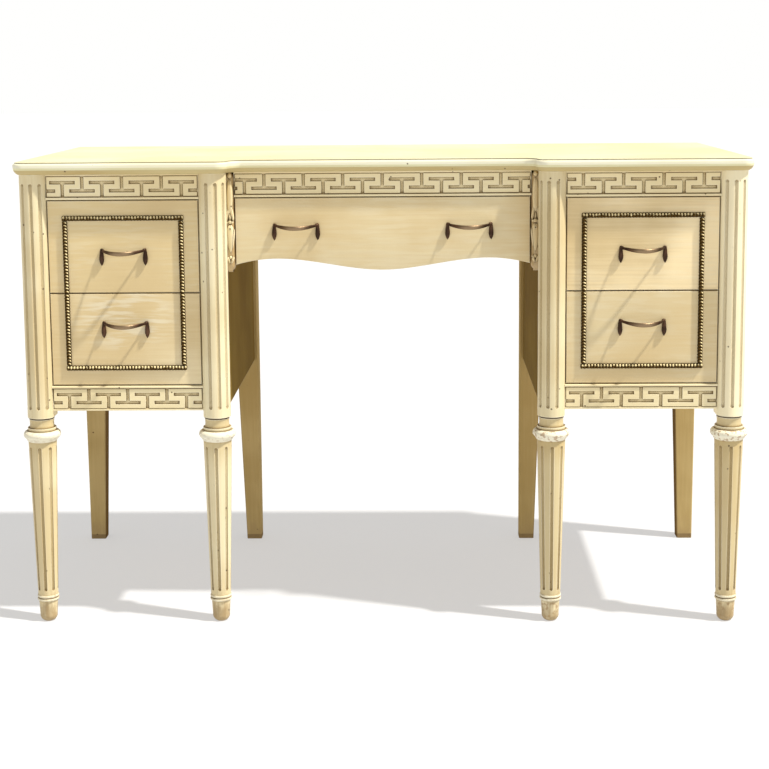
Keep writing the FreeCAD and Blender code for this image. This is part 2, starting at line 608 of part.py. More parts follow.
def pedestal_frieze(z0, bead_on_top, flipped):
    z1 = z0 + FRIEZE_HEIGHT
    tenons = [rail_tenon(x, z0, z1, RAIL_FACE_Y) for x in (OPENING_LEFT, OPENING_RIGHT)]
    return frieze(OPENING_LEFT, OPENING_RIGHT, RAIL_FACE_Y, z0, bead_on_top, flipped, tenons)


def centre_frieze():
    tenons = [rail_tenon(x, FRIEZE_BOTTOM, UNDER_TOP, CENTRE_RAIL_Y) for x in (-DROP_INNER_X, DROP_INNER_X)]
    return frieze(-DROP_INNER_X, DROP_INNER_X, CENTRE_RAIL_Y, FRIEZE_BOTTOM, False, False, tenons)


# Carved drops: strips on the inner panels that end the middle frieze
def husk(x, y, z_low, z_high, bulge):
    """A leaf bud, widest above its middle, as a pointed turning about a vertical line."""
    z_wide = z_low + 0.62 * (z_high - z_low)
    low, wide, high = V(x, y, z_low), V(x + bulge, y, z_wide), V(x, y, z_high)
    wire = Part.Wire([arc(low, wide, high), line(high, low)])
    return Part.Face(wire).revolve(V(x, y, 0), V(0, 0, 1), 360)


def carved_drop():
    """The right one: a strip with a rounded toe and three husks on its face."""
    x0, x1 = DROP_INNER_X, INNER_PANEL_X
    y0 = CENTRE_RAIL_Y - DROP_PROUD
    y1 = y0 + DROP_DEPTH
    strip = box(x0, x1, y0, y1, DROP_BOTTOM, UNDER_TOP)
    toe = [e for e in strip.Edges
           if e.BoundBox.YLength > 1 and abs(e.BoundBox.ZMax - DROP_BOTTOM) < 1e-6
           and abs(e.BoundBox.XMax - x0) < 1e-6]
    strip = strip.makeFillet(DROP_ROUND, toe)
    middle = (x0 + x1) / 2
    length = UNDER_TOP - DROP_BOTTOM - DROP_ROUND - HUSK_TOP_GAP
    husks = []
    top = UNDER_TOP - HUSK_TOP_GAP
    for share, bulge in ((0.44, 1.0), (0.34, 1.05), (0.2, 0.85)):
        bottom = top - share * length
        husks.append(husk(middle, y0, bottom, top, HUSK_BULGE * bulge))
        top = bottom
    drop = strip.fuse(husks).removeSplitter()
    return drop.cut(rail_tenon(x0, FRIEZE_BOTTOM, UNDER_TOP, CENTRE_RAIL_Y, JOINT_CLEARANCE))


# Runners: each is a guide with a ledge that a drawer side slides on
def runner(x_wall, toward, side_face, side_z, y0, y1):
    """A runner on the wall at x_wall for the drawer side whose outer face is at side_face."""
    guide_face = side_face - toward * SIDE_CLEARANCE
    ledge_face = guide_face + toward * RUNNER_LEDGE
    ledge_top = side_z - RUNNER_CLEARANCE
    ledge_low = ledge_top - RUNNER_LEDGE_THICKNESS
    gx0, gx1 = sorted((x_wall, guide_face))
    lx0, lx1 = sorted((x_wall, ledge_face))
    guide = box(gx0, gx1, y0, y1, ledge_low, ledge_low + RUNNER_GUIDE_HEIGHT)
    ledge = box(lx0, lx1, y0, y1, ledge_low, ledge_top)
    return guide.fuse(ledge).removeSplitter()


def pedestal_runners():
    """Four runners of the right pedestal."""
    inner_wall = INNER_PANEL_X + PANEL_THICKNESS
    outer_wall = OUTER_PANEL_X - PANEL_THICKNESS
    made = []
    for z in (LOWER_DRAWER_Z, UPPER_DRAWER_Z):
        side_z = z + SIDE_LIFT
        made.append(runner(inner_wall, 1, DRAWER_LEFT, side_z, POST_BACK_Y, REAR_LEG_FRONT_Y))
        made.append(runner(outer_wall, -1, DRAWER_RIGHT, side_z, POST_BACK_Y, REAR_LEG_FRONT_Y))
    return made


def centre_runner():
    """The runner on the right pedestal's inner panel."""
    y0 = CENTRE_RAIL_Y - DROP_PROUD + DROP_DEPTH
    return runner(INNER_PANEL_X, -1, CENTRE_DRAWER_HALF, CENTRE_SIDE_BOTTOM, y0, REAR_LEG_FRONT_Y)


def glue_blocks():
    """Corner blocks that hold the top to the right pedestal's panels."""
    made = []
    for x_face, inward in ((INNER_PANEL_X + PANEL_THICKNESS, 1), (OUTER_PANEL_X - PANEL_THICKNESS, -1)):
        for y in (POST_BACK_Y + BLOCK_END_ROOM, REAR_LEG_FRONT_Y - BLOCK_END_ROOM - BLOCK_LENGTH):
            corner = V(x_face, y, UNDER_TOP)
            points = [corner, corner + V(inward * BLOCK, 0, 0), corner + V(0, 0, -BLOCK)]
            made.append(prism(points, V(0, BLOCK_LENGTH, 0)))
    return made


# Drawers
def tails(x0, x1, y_back, z0, z1):
    """Dovetail tails that stand forward from y_back, across x0 to x1, spread over z0 to z1."""
    length = DRAWER_FRONT_THICKNESS - DOVETAIL_LAP
    pitch = (z1 - z0) / DOVETAILS
    made = []
    for n in range(DOVETAILS):
        middle = z0 + (n + 0.5) * pitch
        narrow = pitch * 0.28
        wide = narrow + DOVETAIL_FLARE
        points = [V(x0, y_back, middle - narrow), V(x0, y_back - length, middle - wide),
                  V(x0, y_back - length, middle + wide), V(x0, y_back, middle + narrow)]
        made.append(prism(points, V(x1 - x0, 0, 0)))
    return made


def drawer_box(x0, x1, y_face, side_z0, side_z1):
    """The sides, back and bottom of a drawer, with the cutters that its front needs."""
    y_front = y_face + DRAWER_FRONT_THICKNESS
    y_end = DRAWER_END_Y
    floor = side_z0 + GROOVE_LIFT
    panel = box(x0 + DRAWER_SIDE - GROOVE_DEPTH, x1 - DRAWER_SIDE + GROOVE_DEPTH,
                y_front - GROOVE_DEPTH, y_end, floor, floor + DRAWER_BOTTOM)
    grow = JOINT_CLEARANCE
    groove = box(x0 + DRAWER_SIDE - GROOVE_DEPTH - grow, x1 - DRAWER_SIDE + GROOVE_DEPTH + grow,
                 y_front - GROOVE_DEPTH - grow, y_end + grow, floor - grow, floor + DRAWER_BOTTOM + grow)
    sides, sockets = [], []
    for a, b in ((x0, x0 + DRAWER_SIDE), (x1 - DRAWER_SIDE, x1)):
        side = box(a, b, y_front, y_end, side_z0, side_z1)
        side_tails = tails(a, b, y_front, side_z0, side_z1)
        sockets += side_tails
        sides.append(side.fuse(side_tails).removeSplitter().cut(groove))
    back = box(x0 + DRAWER_SIDE, x1 - DRAWER_SIDE, y_end - DRAWER_BACK, y_end,
               floor + DRAWER_BOTTOM + grow, side_z1)
    return sides, back, panel, sockets + [groove]


def rope_strip(a, b, y_face, mitre_a, mitre_b):
    """A half-round strip on the drawer's face from a to b. A mitre of 1 or -1 leans its end's cut."""
    along = b.sub(a)
    length = along.Length
    half = ROPE_WIDTH / 2
    section = Part.Face(Part.Wire([
        arc(V(-half, 0, 0), V(0, -ROPE_HEIGHT, 0), V(half, 0, 0)),
        line(V(half, 0, 0), V(-half, 0, 0)),
    ]))
    start = half if mitre_a else 0.0
    end = half if mitre_b else 0.0
    strip = section.extrude(V(0, 0, length + start + end))
    strip.translate(V(0, 0, -start))
    room = 4 * ROPE_WIDTH

    def beyond(z, lean, sign):
        points = [V(-room, -room, z - lean * room), V(room, -room, z + lean * room),
                  V(room, -room, z + sign * room * 2), V(-room, -room, z + sign * room * 2)]
        return prism(points, V(0, 2 * room, 0))

    if mitre_a:
        strip = strip.cut(beyond(0, mitre_a, -1))
    if mitre_b:
        strip = strip.cut(beyond(length, mitre_b, 1))
    turn = math.degrees(math.atan2(along.x, along.z))
    strip.rotate(V(0, 0, 0), V(0, 1, 0), turn)
    strip.translate(V(a.x, y_face, a.z))
    return strip


def rope_frame(z0, upper):
    """Three mitred rope strips: the upper drawer has the frame's head, the lower one its foot."""
    half = ROPE_WIDTH / 2
    x0 = DRAWER_LEFT + ROPE_SIDE_MARGIN + half
    x1 = DRAWER_RIGHT - ROPE_SIDE_MARGIN - half
    z1 = z0 + DRAWER_HEIGHT
    bar_z = z1 - ROPE_TOP_MARGIN - half if upper else z0 + ROPE_TOP_MARGIN + half
    end_z = z0 if upper else z1
    left, right = V(x0, 0, bar_z), V(x1, 0, bar_z)
    lean = 1 if upper else -1
    return [
        rope_strip(left, right, DRAWER_FACE_Y, lean, -lean),
        rope_strip(left, V(x0, 0, end_z), DRAWER_FACE_Y, lean, 0),
        rope_strip(right, V(x1, 0, end_z), DRAWER_FACE_Y, -lean, 0),
    ]


def pull_foot(x, y, bottom, top):
    """A leaf-shaped foot: a turning about a vertical line, pointed below and rounded above."""
    height = top - bottom
    wide_z = bottom + 0.38 * height
    neck_z = top - PULL_FOOT_NECK
    diagonal = math.sqrt(0.5) * PULL_FOOT_NECK
    edges = [
        arc(V(x, y, bottom), V(x + 0.66 * PULL_FOOT_RADIUS, y, bottom + 0.16 * height),
            V(x + PULL_FOOT_RADIUS, y, wide_z)),
        arc(V(x + PULL_FOOT_RADIUS, y, wide_z),
            V(x + 0.47 * PULL_FOOT_NECK + 0.53 * PULL_FOOT_RADIUS, y, 0.45 * wide_z + 0.55 * neck_z),
            V(x + PULL_FOOT_NECK, y, neck_z)),
        arc(V(x + PULL_FOOT_NECK, y, neck_z), V(x + diagonal, y, neck_z + diagonal), V(x, y, top)),
        line(V(x, y, top), V(x, y, bottom)),
    ]
    return Part.Face(Part.Wire(edges)).revolve(V(x, y, 0), V(0, 0, 1), 360)


def bow_pull(x, y_face, z):
    """A cast pull: two leaf feet on the face and a bowed grip between their tops."""
    foot_y = y_face - PULL_FOOT_STAND
    top = z + PULL_FOOT_HEIGHT / 2
    bottom = z - PULL_FOOT_HEIGHT / 2
    half = PULL_SPAN / 2
    grip_z = top - PULL_KNUCKLE
    rise = PULL_PROJECTION - PULL_FOOT_STAND - PULL_GRIP_MIDDLE * PULL_GRIP_THIN
    stations = 8
    sections = []
    for n in range(stations + 1):
        t = 2 * n / stations - 1
        bow = 1 - t * t
        middle = V(x + half * t, foot_y - rise * bow, grip_z - PULL_SAG * bow)
        out = V(2 * rise * t, -half, 0).normalize()
        tall = PULL_GRIP_END + (PULL_GRIP_MIDDLE - PULL_GRIP_END) * bow
        ellipse = Part.Ellipse(middle + V(0, 0, tall), middle + out * (tall * PULL_GRIP_THIN), middle)
        sections.append(Part.Wire(ellipse.toShape()))
    grip = Part.makeLoft(sections, True, False)
    feet_x = (x - half, x + half)
    pieces = [pull_foot(foot_x, foot_y, bottom, top) for foot_x in feet_x]
    for foot_x, inward in zip(feet_x, (1, -1)):
        ball = V(foot_x + inward * PULL_KNUCKLE * 0.5, foot_y - PULL_KNUCKLE * 0.6, grip_z)
        pieces.append(Part.makeSphere(PULL_KNUCKLE, ball))
    behind = box(x - PULL_SPAN, x + PULL_SPAN, y_face, y_face + PULL_SPAN,
                 bottom - PULL_SPAN, top + PULL_SPAN)
    holes = [screw_hole(foot_x, y_face, z) for foot_x in feet_x]
    return grip.fuse(pieces).cut(Part.makeCompound([behind] + holes))


def screw_hole(x, y_face, z):
    """The hole for a pull's screw, through a drawer front and into the pull's foot."""
    return Part.makeCylinder(PULL_SCREW_RADIUS + PULL_SCREW_CLEARANCE,
                             DRAWER_FRONT_THICKNESS + PULL_SCREW_BITE + 1,
                             V(x, y_face - PULL_SCREW_BITE, z), V(0, 1, 0))


def pull_screws(x, y_face, z):
    """The two screws of a pull, their heads inside the drawer."""
    made = []
    back = y_face + DRAWER_FRONT_THICKNESS
    for foot_x in (x - PULL_SPAN / 2, x + PULL_SPAN / 2):
        shank = Part.makeCylinder(PULL_SCREW_RADIUS, DRAWER_FRONT_THICKNESS + PULL_SCREW_BITE,
                                  V(foot_x, y_face - PULL_SCREW_BITE, z), V(0, 1, 0))
        head = Part.makeCylinder(PULL_SCREW_HEAD_RADIUS, PULL_SCREW_HEAD, V(foot_x, back, z), V(0, 1, 0))
        slot = box(foot_x - PULL_SCREW_HEAD_RADIUS, foot_x + PULL_SCREW_HEAD_RADIUS,
                   back + PULL_SCREW_HEAD / 2, back + PULL_SCREW_HEAD * 2,
                   z - PULL_SCREW_HEAD / 4, z + PULL_SCREW_HEAD / 4)
        made.append(shank.fuse(head).removeSplitter().cut(slot))
    return made


def rounded_face(front, y_face):
    """Softens the edges round a drawer front's face."""
    edges = [e for e in front.Edges
             if abs(e.BoundBox.YMin - y_face) < 1e-6 and abs(e.BoundBox.YMax - y_face) < 1e-6]
    return front.makeFillet(FRONT_EDGE_ROUND, edges)


def pedestal_drawer(z0, upper):
    """The right pedestal's drawer at height z0, as named pieces."""
    z1 = z0 + DRAWER_HEIGHT
    x0, x1 = DRAWER_LEFT, DRAWER_RIGHT
    sides, back, panel, cuts = drawer_box(x0, x1, DRAWER_FACE_Y, z0 + SIDE_LIFT, z1 - SIDE_DROP)
    front = box(x0, x1, DRAWER_FACE_Y, DRAWER_FACE_Y + DRAWER_FRONT_THICKNESS, z0, z1)
    front = rounded_face(front, DRAWER_FACE_Y)
    frame = ROPE_TOP_MARGIN + ROPE_WIDTH
    middle_x = (x0 + x1) / 2
    middle_z = (z0 + z1 - frame) / 2 if upper else (z0 + z1 + frame) / 2
    holes = [screw_hole(x, DRAWER_FACE_Y, middle_z)
             for x in (middle_x - PULL_SPAN / 2, middle_x + PULL_SPAN / 2)]
    front = front.cut(Part.makeCompound(cuts + holes))
    return {
        "front": [front],
        "sides": sides,
        "back": [back],
        "bottom": [panel],
        "rope_moulding": rope_frame(z0, upper),
        "pull": [bow_pull(middle_x, DRAWER_FACE_Y, middle_z)],
        "pull_screws": pull_screws(middle_x, DRAWER_FACE_Y, middle_z),
    }


def apron_front():
    """The middle drawer's front, its lower edge a serpentine."""
    half = CENTRE_DRAWER_HALF
    y = CENTRE_FACE_Y
    curve = Part.BSplineCurve()
    points = [V(-half, y, APRON_END), V(-APRON_ARCH_X, y, APRON_ARCH), V(0, y, APRON_DROP),
              V(APRON_ARCH_X, y, APRON_ARCH), V(half, y, APRON_END)]
    curve.interpolate(points)
    top = CENTRE_DRAWER_TOP
    edges = [
        curve.toShape(),
        line(V(half, y, APRON_END), V(half, y, top)),
        line(V(half, y, top), V(-half, y, top)),
        line(V(-half, y, top), V(-half, y, APRON_END)),
    ]
    front = Part.Face(Part.Wire(edges)).extrude(V(0, DRAWER_FRONT_THICKNESS, 0))
    return rounded_face(front, y)


def centre_drawer():
    """The middle drawer as named pieces."""
    half = CENTRE_DRAWER_HALF
    side_top = CENTRE_DRAWER_TOP - SIDE_DROP
    sides, back, panel, cuts = drawer_box(-half, half, CENTRE_FACE_Y, CENTRE_SIDE_BOTTOM, side_top)
    pull_z = CENTRE_PULL_Z
    pull_xs = (-CENTRE_PULL_X, CENTRE_PULL_X)
    holes = [screw_hole(x + s * PULL_SPAN / 2, CENTRE_FACE_Y, pull_z) for x in pull_xs for s in (-1, 1)]
    screws = [screw for x in pull_xs for screw in pull_screws(x, CENTRE_FACE_Y, pull_z)]
    return {
        "front": [apron_front().cut(Part.makeCompound(cuts + holes))],
        "sides": sides,
        "back": [back],
        "bottom": [panel],
        "pulls": [bow_pull(x, CENTRE_FACE_Y, pull_z) for x in pull_xs],
        "pull_screws": screws,
    }


def solids_of(shapes):
    return [solid for shape in shapes for solid in shape.Solids]


def export(node, shapes):
    """Writes one node, its pieces as separate solids."""
    solids = solids_of(shapes)
    shape = solids[0] if len(solids) == 1 else Part.makeCompound(solids)
    shape.exportStep("parts/" + node + ".step")
    print(node, len(solids), "solids", round(sum(s.Volume for s in solids) / 1000, 1), "cm3")


def case_nodes():
    """Every fixed piece of the case by name."""
    inner_leg, outer_leg = front_legs()
    inner_rear, outer_rear = rear_legs()
    inner_panel, outer_panel = side_panels()
    lower_frieze = pedestal_frieze(CASE_BOTTOM, True, False)
    drop, runners, runner_piece, blocks = carved_drop(), pedestal_runners(), centre_runner(), glue_blocks()
    bottom = bottom_board()
    nodes = {
        "top_board": [top_board()],
        "centre_back_rail": [centre_back_rail()],
        "frieze_centre": [centre_frieze()],
        "frieze_right": [pedestal_frieze(FRIEZE_BOTTOM, False, True)],
        "frieze_left": [mirrored(pedestal_frieze(FRIEZE_BOTTOM, False, False))],
        "carved_drops": [drop, mirrored(drop)],
        "pedestal_runners": runners + [mirrored(r) for r in runners],
        "centre_runners": [runner_piece, mirrored(runner_piece)],
        "glue_blocks": blocks + [mirrored(b) for b in blocks],
        "bottom_boards": [bottom, mirrored(bottom)],
    }
    paired = {
        "front_leg_inner": inner_leg,
        "front_leg_outer": outer_leg,
        "rear_leg_inner": inner_rear,
        "rear_leg_outer": outer_rear,
        "side_panel_inner": inner_panel,
        "side_panel_outer": outer_panel,
        "back_panel": back_panel(),
        "lower_frieze": lower_frieze,
    }
    for name, shape in paired.items():
        nodes[name + "_right"] = [shape]
        nodes[name + "_left"] = [mirrored(shape)]
    return nodes


def drawer_nodes():
    """Every drawer piece by name."""
    nodes = {}
    for level, z in (("upper", UPPER_DRAWER_Z), ("lower", LOWER_DRAWER_Z)):
        for piece, shapes in pedestal_drawer(z, level == "upper").items():
            nodes[level + "_right_drawer_" + piece] = shapes
            nodes[level + "_left_drawer_" + piece] = [mirrored(s) for s in shapes]
    for piece, shapes in centre_drawer().items():
        nodes["centre_drawer_" + piece] = shapes
    return nodes


def main():
    os.makedirs("parts", exist_ok=True)
    for node, shapes in {**case_nodes(), **drawer_nodes()}.items():
        export(node, shapes)


main()
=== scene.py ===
import math

import bpy
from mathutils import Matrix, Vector


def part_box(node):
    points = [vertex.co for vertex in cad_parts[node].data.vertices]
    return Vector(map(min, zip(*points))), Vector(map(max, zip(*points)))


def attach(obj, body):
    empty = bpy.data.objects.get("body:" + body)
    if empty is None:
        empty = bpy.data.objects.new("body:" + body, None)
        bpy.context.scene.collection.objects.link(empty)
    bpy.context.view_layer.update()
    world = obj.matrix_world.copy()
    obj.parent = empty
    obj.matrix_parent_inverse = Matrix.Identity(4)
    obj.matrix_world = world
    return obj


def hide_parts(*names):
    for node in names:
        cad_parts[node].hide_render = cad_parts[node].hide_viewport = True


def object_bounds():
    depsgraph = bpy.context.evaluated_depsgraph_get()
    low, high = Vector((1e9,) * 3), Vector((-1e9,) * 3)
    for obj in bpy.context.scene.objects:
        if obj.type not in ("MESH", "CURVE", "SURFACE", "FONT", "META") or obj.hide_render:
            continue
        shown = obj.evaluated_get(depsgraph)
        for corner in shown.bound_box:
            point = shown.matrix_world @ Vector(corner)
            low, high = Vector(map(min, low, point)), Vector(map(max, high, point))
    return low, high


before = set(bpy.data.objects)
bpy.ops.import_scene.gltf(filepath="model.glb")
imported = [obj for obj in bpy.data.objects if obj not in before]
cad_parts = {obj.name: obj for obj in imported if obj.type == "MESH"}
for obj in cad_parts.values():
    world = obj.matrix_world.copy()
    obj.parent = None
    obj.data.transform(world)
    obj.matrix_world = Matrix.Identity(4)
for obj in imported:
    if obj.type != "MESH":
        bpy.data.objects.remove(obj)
cad_low, cad_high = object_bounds()


# Front legs: four, each one length of beech from the floor to the top. The post above is
# fluted and the leg below is turned and fluted. Cream paint with a brown glaze that stays
# in the hollows. The rings are rubbed pale and the feet are worn. Each post is also painted
# lighter or darker for the light that falls on it, and the neck, the groove under the post and
# the top of the shaft under the ring get painted shade.
class Tint:
    """A value or a colour on its way to a finish. Arithmetic on values adds Math nodes."""

    def __init__(self, tree, socket):
        self.tree = tree
        self.socket = socket

    def node(self, kind, settings, sockets, out=0):
        made = self.tree.nodes.new("ShaderNode" + kind)
        for name, value in settings.items():
            setattr(made, name, value)
        for name, value in sockets.items():
            if isinstance(value, Tint):
                self.tree.links.new(value.socket, made.inputs[name])
            else:
                made.inputs[name].default_value = value
        return Tint(self.tree, made.outputs[out])

    def other(self, out):
        return Tint(self.tree, self.socket.node.outputs[out])

    def maths(self, operation, first, second):
        return self.node("Math", {"operation": operation}, {0: first, 1: second})

    def __add__(self, term):
        return self.maths("ADD", self, term)

    __radd__ = __add__

    def __sub__(self, term):
        return self.maths("SUBTRACT", self, term)

    def __rsub__(self, term):
        return self.maths("SUBTRACT", term, self)

    def __mul__(self, term):
        return self.maths("MULTIPLY", self, term)

    __rmul__ = __mul__

    def __abs__(self):
        return self.maths("ABSOLUTE", self, 0.0)

    def between(self, start, end):
        """0 at start and 1 at end, smooth between them."""
        return self.node(
            "MapRange",
            {"interpolation_type": "SMOOTHSTEP"},
            {"Value": self, "From Min": start, "From Max": end},
        )

    def over(self, ground, top):
        """top where this value is 1, ground where it is 0."""
        return self.node("Mix", {"data_type": "RGBA"}, {0: self, 6: ground, 7: top}, 2)


EVEN = (1.0, 1.0, 1.0)
ALONG_X = (0.03, 1.0, 1.0)
ALONG_Z = (1.0, 1.0, 0.03)


def noise(here, scale, stretch, detail=3.0):
    laid = here.node("Mapping", {}, {"Vector": here, "Scale": stretch})
    return here.node("TexNoise", {}, {"Vector": laid, "Scale": scale, "Detail": detail})


def along(here, axis):
    """How far along this axis the surface is."""
    return here.node("SeparateXYZ", {}, {"Vector": here}, axis)


def occlusion(here, reach, inside):
    return here.node(
        "AmbientOcclusion",
        {"samples": 8, "only_local": True, "inside": inside},
        {"Distance": reach},
        "AO",
    )


def start_finish(name):
    finish = bpy.data.materials.new(name)
    finish.use_nodes = True
    shader = finish.node_tree.nodes["Principled BSDF"]
    here = Tint(finish.node_tree, None).node("TexCoord", {}, {}, "Object")
    return finish, shader, here


def end_finish(shader, colour, roughness, height, depth):
    bump = colour.node("Bump", {}, {"Strength": 0.6, "Distance": depth, "Height": height})
    colour.tree.links.new(colour.socket, shader.inputs["Base Color"])
    colour.tree.links.new(roughness.socket, shader.inputs["Roughness"])
    colour.tree.links.new(bump.socket, shader.inputs["Normal"])


GLAZE_AND_SHADE_BROWN = (0.135, 0.072, 0.016, 1.0)
WASH_AND_SHADE_TAN = (0.45, 0.31, 0.10, 1.0)
PALE_CREAM = (0.88, 0.85, 0.70, 1.0)
CHIP_BROWN = (0.09, 0.055, 0.028, 1.0)
FLAKE_TAN = (0.40, 0.235, 0.115, 1.0)
SCUFF_TAN = (0.36, 0.25, 0.12, 1.0)
BAND_EDGE = 0.0004
FLAKE_EDGE = 0.002
EDGE_REACH = 0.0022
SCUFF_TOP = 0.055
PAINT_RELIEF = 0.0005


class Coat:
    """Brushed cream paint, worked up step by step: its colour so far and the patterns in it."""

    def __init__(self, name, pale, deep, grain):
        self.finish, self.shader, self.here = start_finish(name)
        self.grain = grain
        self.clouds = noise(self.here, 6.0, EVEN)
        self.marks = noise(self.here, 260.0, grain)
        self.fine = noise(self.here, 900.0, EVEN)
        self.held = 0.0
        mottle = self.clouds * 0.78 + self.marks * 0.22
        self.colour = mottle.between(0.34, 0.68).over(deep, pale)

    def lay(self, where, tone):
        self.colour = where.over(self.colour, tone)


def band(coat, axis, low, high, tone, share):
    """Another tone, a little clouded, between two places on an axis."""
    place = along(coat.here, axis)
    inside = place.between(low - BAND_EDGE, low + BAND_EDGE)
    inside = inside * place.between(high + BAND_EDGE, high - BAND_EDGE)
    coat.lay(inside * (0.35 + coat.clouds * 0.7) * share, tone)


def shade_under_ledge(coat, low, high, share):
    """Painted shade under a ledge, over some glaze: tan that deepens upwards and stops under it."""
    height = along(coat.here, "Z")
    deepening = height.between(low, high) * height.between(high + FLAKE_EDGE, high)
    coat.lay(deepening * (0.4 + coat.clouds) * share, WASH_AND_SHADE_TAN)


def flake(coat, low, high, share):
    """Paint lost in small patches between two heights, down to a tan ground."""
    height = along(coat.here, "Z")
    patches = noise(coat.here, 190.0, EVEN, 5.0)
    inside = height.between(low, low + FLAKE_EDGE) * height.between(high, high - FLAKE_EDGE)
    coat.lay(inside * patches.between(0.53, 0.60) * share, FLAKE_TAN)


def rub_and_highlight_edges(coat, share):
    """Sharp edges rubbed back to pale cream, which also serves as a painted highlight on them."""
    edge = 1.0 - occlusion(coat.here, EDGE_REACH, True)
    coat.lay((edge + (coat.clouds - 0.5) * 0.5).between(0.16, 0.46) * share, PALE_CREAM)


def glaze(coat, reach, start, full, share, wash=0.0):
    """Brown glaze held in the hollows, with a tan wash round it."""
    shut = 1.0 - occlusion(coat.here, reach, False)
    if wash:
        coat.lay(shut.between(0.04, 0.30) * wash, WASH_AND_SHADE_TAN)
    coat.held = (shut + (coat.marks - 0.5) * start).between(start, full) * share
    coat.lay(coat.held, GLAZE_AND_SHADE_BROWN)


def scuff_feet(coat, share):
    """Paint worn off near the floor, higher in some patches than in others."""
    patches = noise(coat.here, 90.0, (1.0, 1.0, 0.4))
    height = along(coat.here, "Z") + (patches - 0.5) * 0.09 + (coat.marks - 0.5) * 0.03
    coat.lay(height.between(SCUFF_TOP, 0.0) * share, SCUFF_TAN)


def dry(coat, chips, dull=0.4, shine=0.25):
    """Knocks a few small chips into the paint and closes the finish."""
    near = coat.here.node("TexVoronoi", {}, {"Vector": coat.here, "Scale": 70.0}, "Distance")
    lot = coat.here.node("SeparateColor", {}, {"Color": near.other("Color")}, "Red")
    spared = 1.0 - 0.4 * chips
    chip = (near + (coat.fine - 0.5) * 0.08).between(0.115, 0.075) * lot.between(spared, spared + 0.03)
    coat.lay(chip * 0.9, CHIP_BROWN)
    coat.shader.inputs["Specular IOR Level"].default_value = shine
    roughness = dull + coat.fine * 0.14 + coat.held * 0.2 + chip * 0.25
    relief = coat.marks * 0.5 + coat.fine * 0.3 - chip * 1.4
    end_finish(coat.shader, coat.colour, roughness, relief, PAINT_RELIEF)
    return coat.finish


def only(piece):
    """Selects this one piece and makes it the active one."""
    bpy.ops.object.select_all(action="DESELECT")
    piece.select_set(True)
    bpy.context.view_layer.objects.active = piece


WELD = 0.000005


def merged_copy(node, name):
    """A copy of a CAD node's mesh as one closed skin, at the same place."""
    piece = bpy.data.objects.new(name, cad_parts[node].data.copy())
    bpy.context.scene.collection.objects.link(piece)
    piece.data.materials.clear()
    only(piece)
    bpy.ops.mesh.customdata_custom_splitnormals_clear()
    bpy.ops.object.mode_set(mode="EDIT")
    bpy.ops.mesh.select_all(action="SELECT")
    bpy.ops.mesh.remove_doubles(threshold=WELD)
    bpy.ops.object.mode_set(mode="OBJECT")
    return piece


def finished(piece, finish, body, node):
    piece.data.materials.append(finish)
    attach(piece, body)
    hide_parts(node)


LEG_PALE = (0.87, 0.785, 0.53, 1.0)
LEG_DEEP = (0.71, 0.585, 0.34, 1.0)
POST_LIGHT_PALE = (0.97, 0.87, 0.60, 1.0)
QUIRK_SHADE_BROWN = (0.22, 0.115, 0.035, 1.0)
FOOT_BEAD = (0.0352, 0.0452)
SHAFT = (0.0450, 0.3050)
RING = (0.3055, 0.3232)
NECK = (0.3285, 0.3424)
QUIRK = (0.3424, 0.3452)
POST = (0.3460, cad_high.z)
SHAFT_SHADE = (0.2580, 0.3045)
RING_FLAKES = (0.303, 0.325)
FOOT_FLAKES = (-0.002, 0.034)
FLUTE_REACH = 0.005
LEG_CURVE = math.radians(38)
# For each leg: how brown its shaft is, how much has flaked, and the tone and share of the painted light
# or shade on its post.
LEG_WEAR_AND_LIGHT = {
    "inner_right": (0.60, 0.70, WASH_AND_SHADE_TAN, 0.22),
    "outer_right": (0.60, 0.70, POST_LIGHT_PALE, 0.85),
    "inner_left": (0.16, 0.25, POST_LIGHT_PALE, 0.15),
    "outer_left": (0.16, 0.25, WASH_AND_SHADE_TAN, 0.14),
}
for place, (wash, flaked, post_light_tone, post_light_share) in LEG_WEAR_AND_LIGHT.items():
    node = f"front_leg_{place}"
    leg_coat = Coat(f"leg_cream_paint_{place}", LEG_PALE, LEG_DEEP, ALONG_Z)
    band(leg_coat, "Z", *SHAFT, WASH_AND_SHADE_TAN, wash)
    band(leg_coat, "Z", *RING, PALE_CREAM, 1.1)
    band(leg_coat, "Z", *FOOT_BEAD, PALE_CREAM, 0.8)
    # Painted shade: the neck under the post is tan for the shade that falls under the post.
    band(leg_coat, "Z", *NECK, WASH_AND_SHADE_TAN, 0.65)
    # Painted shade: the groove under the post is dark brown.
    band(leg_coat, "Z", *QUIRK, QUIRK_SHADE_BROWN, 1.2)
    # Painted light and shade: each post is paler or darker for how much light falls on it.
    band(leg_coat, "Z", *POST, post_light_tone, post_light_share)
    # Painted shade under the ring, over some glaze, deepening upwards.
    shade_under_ledge(leg_coat, *SHAFT_SHADE, 0.42)
    flake(leg_coat, *RING_FLAKES, flaked)
    flake(leg_coat, *FOOT_FLAKES, flaked)
    rub_and_highlight_edges(leg_coat, 0.6)
    glaze(leg_coat, FLUTE_REACH, start=0.06, full=0.33, share=0.75, wash=0.55)
    scuff_feet(leg_coat, 0.85)
    leg = merged_copy(node, node + "_turned")
    bpy.ops.object.shade_smooth_by_angle(angle=LEG_CURVE)
    finished(leg, dry(leg_coat, chips=1.0), "case", node)


# Rear legs: four square lengths of beech that taper on their inside faces below the case.
# A thin coat painted brown as painted shade under the case, with darker painted shade on the faces
# towards each pedestal's middle.
SIDES = ("right", "left")
REAR_SHADE_PALE = (0.54, 0.405, 0.185, 1.0)
REAR_SHADE_DEEP = (0.43, 0.305, 0.12, 1.0)
SOILED_FOOT = (-0.01, 0.009)
pedestal_low, pedestal_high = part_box("lower_frieze_right")
PEDESTAL_MIDDLE = (pedestal_low.x + pedestal_high.x) / 2


